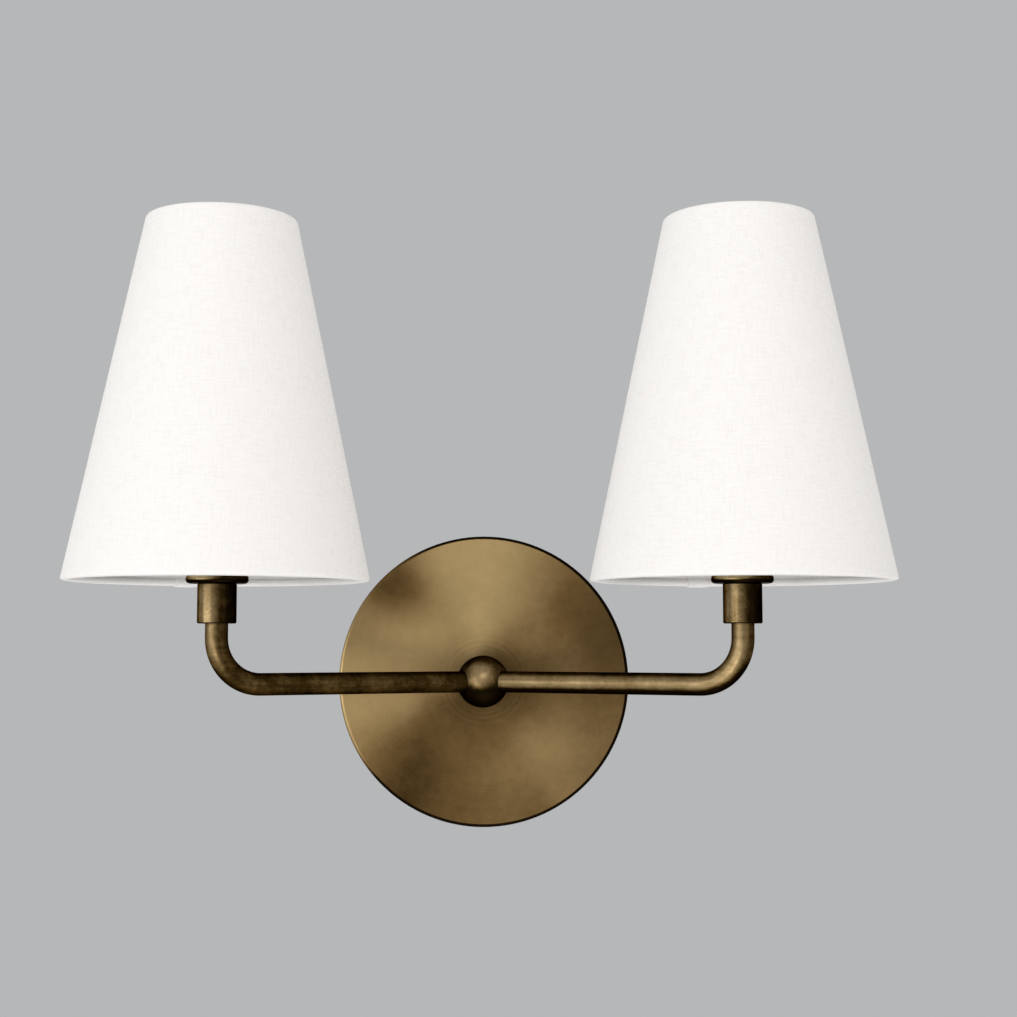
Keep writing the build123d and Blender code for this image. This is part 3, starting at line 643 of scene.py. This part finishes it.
# %% [markdown]
# ## The linen covers
#
# Each shade is a stiff card cone with a linen cover glued to it. The cover is rolled round a
# wire ring at the bottom and at the top, and its two ends overlap in a narrow lap at the back.
# Glued cloth can't hang or fold, so it needs no simulation. It is a surface of revolution, so a
# Geometry Nodes tree spins it: a grid gives the surface its rows and columns, each row takes its
# radius and height from a profile line, and each column takes its angle. The tree also lays the
# cloth out flat. A cone unrolls into a sector, and the flat place of each point is kept as the
# UV map, so the threads run straight in the cloth and only turn away from upright towards the
# back, as on a real tapered shade.

# %% Sizes of a shade
shade_base = 0.0433
shade_height = 0.1524
shade_bottom_radius = 0.0635
shade_top_radius = 0.03175
cloth_thickness = 0.0005
glue_gap = 0.00005
card_thickness = 0.0004
ring_wire_radius = 0.001
hem_depth = 0.009
lamp_spacing = 0.2186
lamp_forward = 0.097207

taper = atan2(shade_bottom_radius - shade_top_radius, shade_height)
slant = hypot(shade_bottom_radius - shade_top_radius, shade_height)
layers = cloth_thickness + card_thickness + 2 * glue_gap
wrap_radius = ring_wire_radius + glue_gap + cloth_thickness / 2
print("taper", round(degrees(taper), 2), "degrees, slant", round(slant * 1000, 1), "mm")

# %% Profile of the cover
hem_rows = 4
hem_row_step = 0.0018
roll_rows = 12
roll_turn = 214
edge_zone = 0.002
upright_rows = 26


def on_slope(along, inward):
    """Radius and height of a point: along the slope from the bottom edge, and inwards from it."""
    radius = shade_bottom_radius - along * sin(taper) - inward * cos(taper)
    height = shade_base + along * cos(taper) - inward * sin(taper)
    return radius, height


def rolled_end():
    """Middle line of the cloth from the hem's free end round the wire, as (along, inward)."""
    skin = cloth_thickness / 2
    wire_along = ring_wire_radius + glue_gap + cloth_thickness
    wire_inward = layers + ring_wire_radius
    points = [(hem_depth - hem_row_step * row, layers + skin) for row in range(hem_rows)]
    for row in range(roll_rows):
        angle = radians(roll_turn - roll_turn * row / (roll_rows - 1))
        points.append((wire_along - wrap_radius * cos(angle), wire_inward + wrap_radius * sin(angle)))
    corner = 0.75 * cloth_thickness
    corner_end = 1.3 * cloth_thickness
    points += [(skin, layers), (skin, corner_end), (corner, corner), (corner_end, skin)]
    points.append((edge_zone, skin))
    return points


rolled = rolled_end()
upright_run = slant - 2 * edge_zone
middle = [
    (edge_zone + upright_run * row / upright_rows, cloth_thickness / 2)
    for row in range(1, upright_rows)
]
mirrored = [(slant - along, inward) for along, inward in reversed(rolled)]
profile = [on_slope(*point) for point in rolled + middle + mirrored]
runs = [0.0]
for (r0, z0), (r1, z1) in zip(profile, profile[1:]):
    runs.append(runs[-1] + hypot(r1 - r0, z1 - z0))
edge_row = len(rolled) - 3  # the row at the cloth's bottom corner
edge_run = runs[edge_row]
print("profile points", len(profile), "cloth run", round(runs[-1] * 1000, 1), "mm")

# %% [markdown]
# A Geometry Nodes tree is built from sockets and nodes like a material. These helpers make a
# tree with named inputs, and run it: the tree is put on a carrier object, its inputs are set by
# their identifiers, and the evaluated result is copied into a plain mesh. The carrier then goes.

# %% Geometry tree helpers
def new_geometry_tree(name, inputs):
    """A tree with these {label: kind} inputs, the outputs that give them, and its end's input."""
    tree = bpy.data.node_groups.new(name, "GeometryNodeTree")
    tree.interface.new_socket("Geometry", in_out="INPUT", socket_type="NodeSocketGeometry")
    tree.interface.new_socket("Geometry", in_out="OUTPUT", socket_type="NodeSocketGeometry")
    for label, kind in inputs.items():
        tree.interface.new_socket(label, in_out="INPUT", socket_type="NodeSocket" + kind)
    given = add_node(tree, "NodeGroupInput").outputs
    result = add_node(tree, "NodeGroupOutput").inputs["Geometry"]
    return tree, given, result


def close_tree(tree, geometry, material, result):
    """The end of every tree: real geometry with its finish on it."""
    real = add_node(tree, "GeometryNodeRealizeInstances", {"Geometry": geometry}).outputs[0]
    dressed = add_node(tree, "GeometryNodeSetMaterial", {"Geometry": real, "Material": material})
    tree.links.new(dressed.outputs[0], result)


def bar_along(tree, curve, sides, radius):
    """A round bar with closed ends along a curve."""
    ring = add_node(tree, "GeometryNodeCurvePrimitiveCircle", {"Resolution": sides, "Radius": radius})
    inputs = {"Curve": curve, "Profile Curve": ring.outputs["Curve"], "Fill Caps": True}
    return add_node(tree, "GeometryNodeCurveToMesh", inputs).outputs[0]


def grow(name, tree, start, settings):
    """Run a tree on a starting mesh and return the result as a plain piece."""
    carrier = link_object(name + "_carrier", start)
    modifier = carrier.modifiers.new("grow", "NODES")
    modifier.node_group = tree
    for item in tree.interface.items_tree:
        if item.in_out == "INPUT" and item.name in settings:
            modifier[item.identifier] = settings[item.name]
    evaluated = carrier.evaluated_get(bpy.context.evaluated_depsgraph_get())
    mesh = bpy.data.meshes.new_from_object(evaluated)
    mesh.name = name
    while len(mesh.materials) > 1:
        mesh.materials.pop(index=0)
    mesh.polygons.foreach_set("material_index", [0] * len(mesh.polygons))
    bpy.data.objects.remove(carrier)
    print(name, len(mesh.polygons), "faces")
    return link_object(name, mesh)


print("helpers ready")

# %% [markdown]
# The tree for the cover. The cloth isn't a closed ring: it turns a little further than once
# round, and its outer end lies on top of the inner end as the lap. Where a spoke passes the
# bottom hem, the hem is slit. The first cell gives each point of the grid its row, its column
# and its angle, and looks up the profile's point for that row.

# %% The cover tree: rows, columns and the profile
tree, given, result = new_geometry_tree("spun_cover", {
    "Columns": "Int", "Start Angle": "Float", "Turn": "Float", "Lap Angle": "Float",
    "Layer Step": "Float", "Unevenness": "Float", "Seed": "Float", "Slope Sine": "Float",
    "Apex Run": "Float", "Slit Rows": "Int", "Slit Angle": "Float", "Lamp Axis": "Vector",
    "Cloth": "Material",
})
cover_tree = tree
profile_size = add_node(tree, "GeometryNodeAttributeDomainSize", {"Geometry": given["Geometry"]})
rows = profile_size.outputs["Point Count"]
grid = add_node(tree, "GeometryNodeMeshGrid", {"Vertices X": given["Columns"], "Vertices Y": rows})
index = add_node(tree, "GeometryNodeInputIndex").outputs[0]
safe_index = math_node(tree, "ADD", index, 0.25)  # keeps FLOOR clear of rounding
column = math_node(tree, "FLOOR", math_node(tree, "DIVIDE", safe_index, rows))
row = math_node(tree, "SUBTRACT", index, math_node(tree, "MULTIPLY", column, rows))
last_column = math_node(tree, "SUBTRACT", given["Columns"], 1.0)
turned = math_node(tree, "MULTIPLY", given["Turn"], math_node(tree, "DIVIDE", column, last_column))
angle = math_node(tree, "ADD", turned, given["Start Angle"])


def at_row(tree, profile_line, row, value, data_type):
    """A value of the profile's point that belongs to this row."""
    inputs = {"Geometry": profile_line, "Index": row}
    sample = add_node(tree, "GeometryNodeSampleIndex", inputs, data_type=data_type)
    tree.links.new(value, sample.inputs["Value"])
    return sample.outputs[0]


position = add_node(tree, "GeometryNodeInputPosition").outputs[0]
run = add_node(tree, "GeometryNodeInputNamedAttribute", {"Name": "run"}, data_type="FLOAT").outputs[0]
spot = split(tree, at_row(tree, given["Geometry"], row, position, "FLOAT_VECTOR"))
spot_run = at_row(tree, given["Geometry"], row, run, "FLOAT")
around_x = math_node(tree, "MULTIPLY", spot["X"], math_node(tree, "COSINE", angle))
around_y = math_node(tree, "MULTIPLY", spot["X"], math_node(tree, "SINE", angle))
spun = vector_node(tree, "ADD", join(tree, around_x, around_y, spot["Z"]), given["Lamp Axis"])
print("cover tree nodes so far", len(tree.nodes))

# %% The cover tree: flat layout, lap and slits
flat_angle = math_node(tree, "ADD", angle, pi / 2)
flat_angle = math_node(tree, "MULTIPLY", flat_angle, given["Slope Sine"])
flat_radius = math_node(tree, "SUBTRACT", given["Apex Run"], spot_run)
flat_x = math_node(tree, "MULTIPLY", flat_radius, math_node(tree, "SINE", flat_angle))
flat_y = math_node(tree, "MULTIPLY", flat_radius, math_node(tree, "COSINE", flat_angle))
flat = join(tree, flat_x, math_node(tree, "MULTIPLY", flat_y, -1.0))


def keep_value(tree, geometry, value, data_type):
    """Fix a value on the points, before the geometry changes."""
    capture = add_node(tree, "GeometryNodeCaptureAttribute", {"Geometry": geometry})
    capture.capture_items.new(data_type, "Kept")
    tree.links.new(value, capture.inputs["Kept"])
    return capture.outputs["Geometry"], capture.outputs["Kept"]


cloth, kept_row = keep_value(tree, grid.outputs["Mesh"], row, "FLOAT")
cloth, kept_turn = keep_value(tree, cloth, turned, "FLOAT")
cloth, kept_angle = keep_value(tree, cloth, angle, "FLOAT")
cloth, kept_flat = keep_value(tree, cloth, flat, "VECTOR")
cloth = add_node(tree, "GeometryNodeSetPosition", {"Geometry": cloth, "Position": spun}).outputs[0]

lap_start = math_node(tree, "SUBTRACT", given["Turn"], given["Lap Angle"])
lap_ease = math_node(tree, "MULTIPLY", given["Lap Angle"], 0.5)
lap_from = math_node(tree, "SUBTRACT", lap_start, lap_ease)
lift = spread(tree, kept_turn, lap_from, lap_start, 0.0, given["Layer Step"])
here = add_node(tree, "GeometryNodeInputPosition").outputs[0]
wave_inputs = {"Vector": here, "W": given["Seed"], "Scale": 34.0, "Detail": 2.0}
wave = add_node(tree, "ShaderNodeTexNoise", wave_inputs, noise_dimensions="4D").outputs[0]
wave = math_node(tree, "SUBTRACT", wave, 0.5)
wave = math_node(tree, "MULTIPLY", wave, given["Unevenness"])
normal = add_node(tree, "GeometryNodeInputNormal").outputs[0]
push = scaled(tree, normal, math_node(tree, "ADD", lift, wave))
cloth = add_node(tree, "GeometryNodeSetPosition", {"Geometry": cloth, "Offset": push}).outputs[0]

third = math_node(tree, "SUBTRACT", kept_angle, pi / 2)
third = math_node(tree, "DIVIDE", third, 2 * pi / 3)
third = math_node(tree, "SUBTRACT", third, math_node(tree, "ROUND", third))
beside_spoke = math_node(tree, "MULTIPLY", math_node(tree, "ABSOLUTE", third), 2 * pi / 3)
near_spoke = math_node(tree, "LESS_THAN", beside_spoke, given["Slit Angle"])
in_hem = math_node(tree, "LESS_THAN", kept_row, given["Slit Rows"])
slit = {"Geometry": cloth, "Selection": math_node(tree, "MULTIPLY", near_spoke, in_hem)}
cloth = add_node(tree, "GeometryNodeDeleteGeometry", slit, domain="FACE").outputs[0]
uv_map = {"Geometry": cloth, "Name": "flat_cloth", "Value": kept_flat}
store = add_node(tree, "GeometryNodeStoreNamedAttribute", uv_map, data_type="FLOAT2", domain="CORNER")
cloth = add_node(tree, "GeometryNodeSetShadeSmooth", {"Geometry": store.outputs[0]}).outputs[0]
close_tree(tree, cloth, given["Cloth"], result)
print("cover tree nodes", len(tree.nodes))

# %% [markdown]
# ## Linen
#
# Plain weave crosses upright and level threads one over one under. Linen yarn is uneven: each
# thread swells and thins, and a few slubs show as short thicker stretches. Threads as geometry
# would take millions of faces, so the weave is a relief and, because the cloth is one white
# colour, only a faint change of tone. The pattern reads the flat layout of the cloth in metres,
# so its scale is the real one.

# %% Threads of the linen
thread_pitch = 0.00052
thread_drift = 0.9
patch_edges = (0.42, 0.58)

linen, tree, shader, _ = new_finish("white_linen")
layout = add_node(tree, "ShaderNodeUVMap", uv_map="flat_cloth").outputs[0]
across = split(tree, layout)
drift = swing(tree, noise(tree, layout, scale=300, detail=2.0), thread_drift)


def thread_wave(tree, distance, drift):
    """One swell for each thread, a little out of step from place to place."""
    return math_node(tree, "SINE", math_node(tree, "MULTIPLY_ADD", distance, pi / thread_pitch, drift))


warp = thread_wave(tree, across["X"], drift)
weft = thread_wave(tree, across["Y"], drift)
weave = math_node(tree, "MULTIPLY", warp, weft)
weft_on_top = spread(tree, noise(tree, layout, scale=150, detail=2.0), *patch_edges)
warp_on_top = math_node(tree, "SUBTRACT", 1.0, weft_on_top)
level_threads = math_node(tree, "MULTIPLY", math_node(tree, "MULTIPLY", weft, weft), weft_on_top)
upright_threads = math_node(tree, "MULTIPLY", math_node(tree, "MULTIPLY", warp, warp), warp_on_top)
threads = total(tree, level_threads, upright_threads)
print("threads per centimetre", round(0.01 / thread_pitch, 1))

# %% Slubs of the linen
level_stretch = (140, 1300, 1)
upright_stretch = (1300, 120, 1)
level_slubs = noise(tree, layout, scale=1.0, stretch=level_stretch, roughness=0.6)
upright_slubs = noise(tree, layout, scale=1.0, stretch=upright_stretch, roughness=0.6)
level_slubs = spread(tree, level_slubs, 0.35, 0.75, to_high=0.85)
upright_slubs = spread(tree, upright_slubs, 0.40, 0.80, to_high=0.9)
thickness = total(tree, level_slubs, upright_slubs)
print("slubs", level_stretch, upright_stretch)

# %% The linen finish
linen_stops = [
    (0.0, linear(227, 223, 219)),
    (0.45, linear(242, 240, 238)),
    (1.0, linear(249, 248, 247)),
]
weave_depth = 0.00016
weave_share = 0.12
thickness_share = 0.45
thread_share = 0.22
cloth_tone = 0.54
slub_shade = -0.24
thread_light = 0.16

height = math_node(tree, "MULTIPLY", thickness, thickness_share)
height = math_node(tree, "MULTIPLY_ADD", weave, weave_share, height)
height = math_node(tree, "MULTIPLY_ADD", threads, thread_share, height)
tone = math_node(tree, "MULTIPLY_ADD", thickness, slub_shade, cloth_tone)
tone = math_node(tree, "MULTIPLY_ADD", threads, thread_light, tone)
feed(tree, shader.inputs["Base Color"], ramp(tree, tone, linen_stops))
feed(tree, shader.inputs["Roughness"], spread(tree, thickness, 0.0, 1.2, 0.92, 0.82))
feed(tree, shader.inputs["Normal"], bump(tree, height, weave_depth, strength=0.8))
shader.inputs["Sheen Weight"].default_value = 0.10
shader.inputs["Sheen Roughness"].default_value = 0.5
shader.inputs["Specular IOR Level"].default_value = 0.25
print("linen nodes", len(tree.nodes))

# %% The cut piece of cloth
lap_width = 0.008
lap_angle = lap_width / shade_bottom_radius
turn = 2 * pi + lap_angle
apex_run = shade_bottom_radius / sin(taper) + edge_run

# %% Make both covers
cover_columns = 264
seam_angle = {"left": radians(90 + 21), "right": radians(90 + 9)}
unevenness = 0.00022
slit_rows = 11
slit_angle = radians(1.45)
pressed_share = 0.98


def profile_mesh():
    """The profile as a line of points that know how far along the cloth they lie."""
    mesh = bpy.data.meshes.new("cover_profile")
    points = [(radius, 0, height) for radius, height in profile]
    mesh.from_pydata(points, [(i, i + 1) for i in range(len(points) - 1)], [])
    attribute = mesh.attributes.new("run", "FLOAT", "POINT")
    attribute.data.foreach_set("value", runs)
    return mesh


for side, sign in (("left", -1), ("right", 1)):
    cover = grow(f"{side}_linen_cover", cover_tree, profile_mesh(), {
        "Columns": cover_columns, "Start Angle": seam_angle[side] - 2 * pi, "Turn": turn,
        "Lap Angle": lap_angle, "Layer Step": cloth_thickness + glue_gap,
        "Unevenness": unevenness, "Seed": 3.0 + sign, "Slope Sine": sin(taper),
        "Apex Run": apex_run, "Slit Rows": slit_rows, "Slit Angle": slit_angle,
        "Lamp Axis": (sign * lamp_spacing / 2, -lamp_forward, 0.0), "Cloth": linen,
    })
    solid = cover.modifiers.new("cloth_thickness", "SOLIDIFY")
    solid.thickness = cloth_thickness * pressed_share
    solid.offset = 0.0
    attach(cover, f"{side}_shade")
    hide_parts(f"{side}_shade_fabric")

# %% [markdown]
# ## The lamp's filament
#
# In the solid model the filament is a plain bent rod on a glass stem. The real one is a fine
# wire wound into a long spring and held up in a hairpin. Modelling every turn by hand would be
# endless, but a spring is a rule: walk along the hairpin, and step sideways round it while
# walking. The tree resamples the hairpin, pushes each point out along its normal and its
# binormal by the cosine and sine of a turning angle, and runs a thin bar through the points.

# %% The coil tree
tree, given, result = new_geometry_tree("wound_coil", {
    "Turns": "Float", "Steps Per Turn": "Int", "Coil Radius": "Float", "Wire Radius": "Float",
    "Wire": "Material",
})
coil_tree = tree
hairpin = add_node(tree, "GeometryNodeMeshToCurve", {"Mesh": given["Geometry"]}).outputs[0]
count = math_node(tree, "MULTIPLY", given["Turns"], given["Steps Per Turn"])
hairpin = add_node(tree, "GeometryNodeResampleCurve", {"Curve": hairpin, "Count": count}).outputs[0]
hairpin = add_node(tree, "GeometryNodeSetCurveNormal", {"Curve": hairpin}).outputs[0]
factor = add_node(tree, "GeometryNodeSplineParameter").outputs["Factor"]
winding = math_node(tree, "MULTIPLY", math_node(tree, "MULTIPLY", factor, given["Turns"]), 2 * pi)
normal = add_node(tree, "GeometryNodeInputNormal").outputs[0]
tangent = add_node(tree, "GeometryNodeInputTangent").outputs[0]
binormal = vector_node(tree, "CROSS_PRODUCT", tangent, normal)
first_step = scaled(tree, normal, math_node(tree, "COSINE", winding))
second_step = scaled(tree, binormal, math_node(tree, "SINE", winding))
ray = scaled(tree, vector_node(tree, "ADD", first_step, second_step), given["Coil Radius"])
coil = add_node(tree, "GeometryNodeSetPosition", {"Geometry": hairpin, "Offset": ray}).outputs[0]
coil = bar_along(tree, coil, 4, given["Wire Radius"])
coil = add_node(tree, "GeometryNodeSetShadeSmooth", {"Geometry": coil}).outputs[0]
close_tree(tree, coil, given["Wire"], result)
print("coil tree nodes", len(tree.nodes))

# %% [markdown]
# The glass stem that holds the coil is turned from a short profile: a wide foot, a waist and a
# small bulge near the top. Two stiff support wires rise from it. All are simple enough to build
# directly.

# %% Turned shapes
def turn_profile(points, centre, columns=32):
    """Closed solid of revolution round an upright axis, from (radius, height) points."""
    spots, faces, ring_start = [], [], []
    for radius, height in points:
        ring_start.append(len(spots))
        if radius == 0:
            spots.append((centre[0], centre[1], centre[2] + height))
            continue
        for k in range(columns):
            a = 2 * pi * k / columns
            spots.append((centre[0] + radius * cos(a), centre[1] + radius * sin(a), centre[2] + height))
    for (r0, _), (r1, _), low, high in zip(points, points[1:], ring_start, ring_start[1:]):
        for k in range(columns):
            n = (k + 1) % columns
            if r0 == 0:
                faces.append((low, high + n, high + k))
            elif r1 == 0:
                faces.append((low + k, low + n, high))
            else:
                faces.append((low + k, low + n, high + n, high + k))
    return spots, faces


def shell_piece(name, parts, finish):
    """One smooth object from several (points, faces) shells."""
    spots, faces = [], []
    for part_spots, part_faces in parts:
        faces += [tuple(i + len(spots) for i in face) for face in part_faces]
        spots += part_spots
    mesh = bpy.data.meshes.new(name)
    mesh.from_pydata(spots, [], faces)
    mesh.shade_smooth()
    mesh.materials.append(finish)
    mesh.validate()
    return link_object(name, mesh)


print("turning ready")

# %% Sizes of a filament
stem_height = 0.0130
stem_profile = [
    # radius, height
    (0, 0), (0.0022, 0), (0.0022, 0.0012), (0.0015, 0.0030), (0.0013, 0.0100),
    (0.0017, 0.0118), (0.0014, stem_height), (0, stem_height),
]
support_radius = 0.00018
support_length = 0.0048
support_offset = 0.00105
support_seat = 0.0010
hairpin_half = 0.0014
hairpin_rise = 0.0035
hairpin_top_room = 0.0002
bend_steps = 12
coil_turns = 84.0
coil_steps = 10
coil_radius = 0.00030
coil_wire = 0.00007
print("coil", coil_turns, "turns,", round(2000 * (coil_radius + coil_wire), 2), "mm wide")

# %% Wind both filaments
def hairpin_mesh(centre, foot, crown):
    """Middle line of the hairpin: up one side, round the top and down the other."""
    turns = [pi * k / bend_steps for k in range(bend_steps + 1)]
    bend_height = crown - hairpin_half
    path = [(-hairpin_half, foot)]
    path += [(-hairpin_half * cos(a), bend_height + hairpin_half * sin(a)) for a in turns]
    path += [(hairpin_half, foot)]
    points = [(centre[0] + x, centre[1], centre[2] + z) for x, z in path]
    mesh = bpy.data.meshes.new("hairpin")
    mesh.from_pydata(points, [(i, i + 1) for i in range(len(points) - 1)], [])
    return mesh


support_profile = [(0, 0), (support_radius, 0), (support_radius, support_length), (0, support_length)]
for side in ("left", "right"):
    low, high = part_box(f"{side}_bulb_filament")
    centre = ((low.x + high.x) / 2, (low.y + high.y) / 2, low.z)
    crown = high.z - low.z - coil_radius - coil_wire - hairpin_top_room
    start = hairpin_mesh(centre, stem_height + hairpin_rise, crown)
    coil = grow(f"{side}_filament_coil", coil_tree, start, {
        "Turns": coil_turns, "Steps Per Turn": coil_steps, "Coil Radius": coil_radius,
        "Wire Radius": coil_wire, "Wire": filament_metal,
    })
    stem = shell_piece(f"{side}_filament_stem", [turn_profile(stem_profile, centre)], bulb_glass)
    seat = centre[2] + stem_height - support_seat
    bars = [turn_profile(support_profile, (centre[0] + x, centre[1], seat), 8)
            for x in (-support_offset, support_offset)]
    supports = shell_piece(f"{side}_filament_supports", bars, filament_metal)
    for piece, slot_name in ((coil, "filament_metal"), (stem, "clear_glass"), (supports, "filament_metal")):
        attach(piece, f"{side}_bulb")
    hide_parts(f"{side}_bulb_filament")

# %% [markdown]
# ## Ribs for a grip
#
# The wire connectors are twisted on by hand and the two side screws by finger, so both have
# ribs all round. One tree serves both: a short bar, which leans inwards where the grip tapers,
# stands at its distance from the axis. It is instanced once for each rib, every time turned a
# little further, and the whole ring is placed and faced where it belongs.

# %% The rib tree
tree, given, result = new_geometry_tree("grip_ribs", {
    "Count": "Int", "First Radius": "Float", "Last Radius": "Float", "Length": "Float",
    "Rib Radius": "Float", "Place": "Vector", "Facing": "Vector", "Skin": "Material",
})
rib_tree = tree
rib_ends = {
    "Start": join(tree, x=given["First Radius"]),
    "End": join(tree, x=given["Last Radius"], z=given["Length"]),
}
rib_line = add_node(tree, "GeometryNodeCurvePrimitiveLine", rib_ends).outputs["Curve"]
rib = bar_along(tree, rib_line, 6, given["Rib Radius"])
points = add_node(tree, "GeometryNodePoints", {"Count": given["Count"]}).outputs[0]
full_turns = math_node(tree, "MULTIPLY", add_node(tree, "GeometryNodeInputIndex").outputs[0], 2 * pi)
rib_turn = join(tree, z=math_node(tree, "DIVIDE", full_turns, given["Count"]))
spread_ribs = {"Points": points, "Instance": rib, "Rotation": rib_turn}
ribs = add_node(tree, "GeometryNodeInstanceOnPoints", spread_ribs).outputs[0]
placed = {"Geometry": ribs, "Translation": given["Place"], "Rotation": given["Facing"]}
ribs = add_node(tree, "GeometryNodeTransform", placed).outputs[0]
close_tree(tree, ribs, given["Skin"], result)
print("rib tree nodes", len(tree.nodes))

# %% Ribs on the side screws and the connectors
screw_ribs = {
    "Count": 28, "First Radius": 0.00348, "Last Radius": 0.00348, "Length": 0.0016,
    "Rib Radius": 0.00013,
}
connector_ribs = {
    "Count": 20, "First Radius": 0.00478, "Last Radius": 0.00372, "Length": 0.0150,
    "Rib Radius": 0.00028, "Skin": connector_skin,
}
screw_rib_inset = 0.0019
connector_rib_inset = 0.0180


def grow_ribs(name, settings, place, facing):
    """One ring of ribs at its place, for a screw or a connector of the fixed part."""
    settings = {**settings, "Place": place, "Facing": facing}
    piece = grow(name, rib_tree, bpy.data.meshes.new("rib_seed"), settings)
    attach(piece, "fixture")


# The knurls take the cups' brass, with its painted shade and highlight.
low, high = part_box("canopy_side_screws")
for side, sign, skin in (("left", -1, left_cup_brass), ("right", 1, right_cup_brass)):
    rib_place = (sign * (high.x - screw_rib_inset), (low.y + high.y) / 2, 0.0)
    grow_ribs(f"{side}_screw_knurl", {**screw_ribs, "Skin": skin}, rib_place,
              (0.0, sign * pi / 2, 0.0))

low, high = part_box("wire_connectors")
for name, sign, tilt in (("upper", 1, 0.0), ("lower", -1, pi)):
    rib_place = (0.0, (low.y + high.y) / 2, sign * (high.z - connector_rib_inset))
    grow_ribs(f"{name}_connector_ribs", connector_ribs, rib_place, (tilt, 0.0, 0.0))

# %% [markdown]
# ## The end

# %% Finish
print("scene ready")
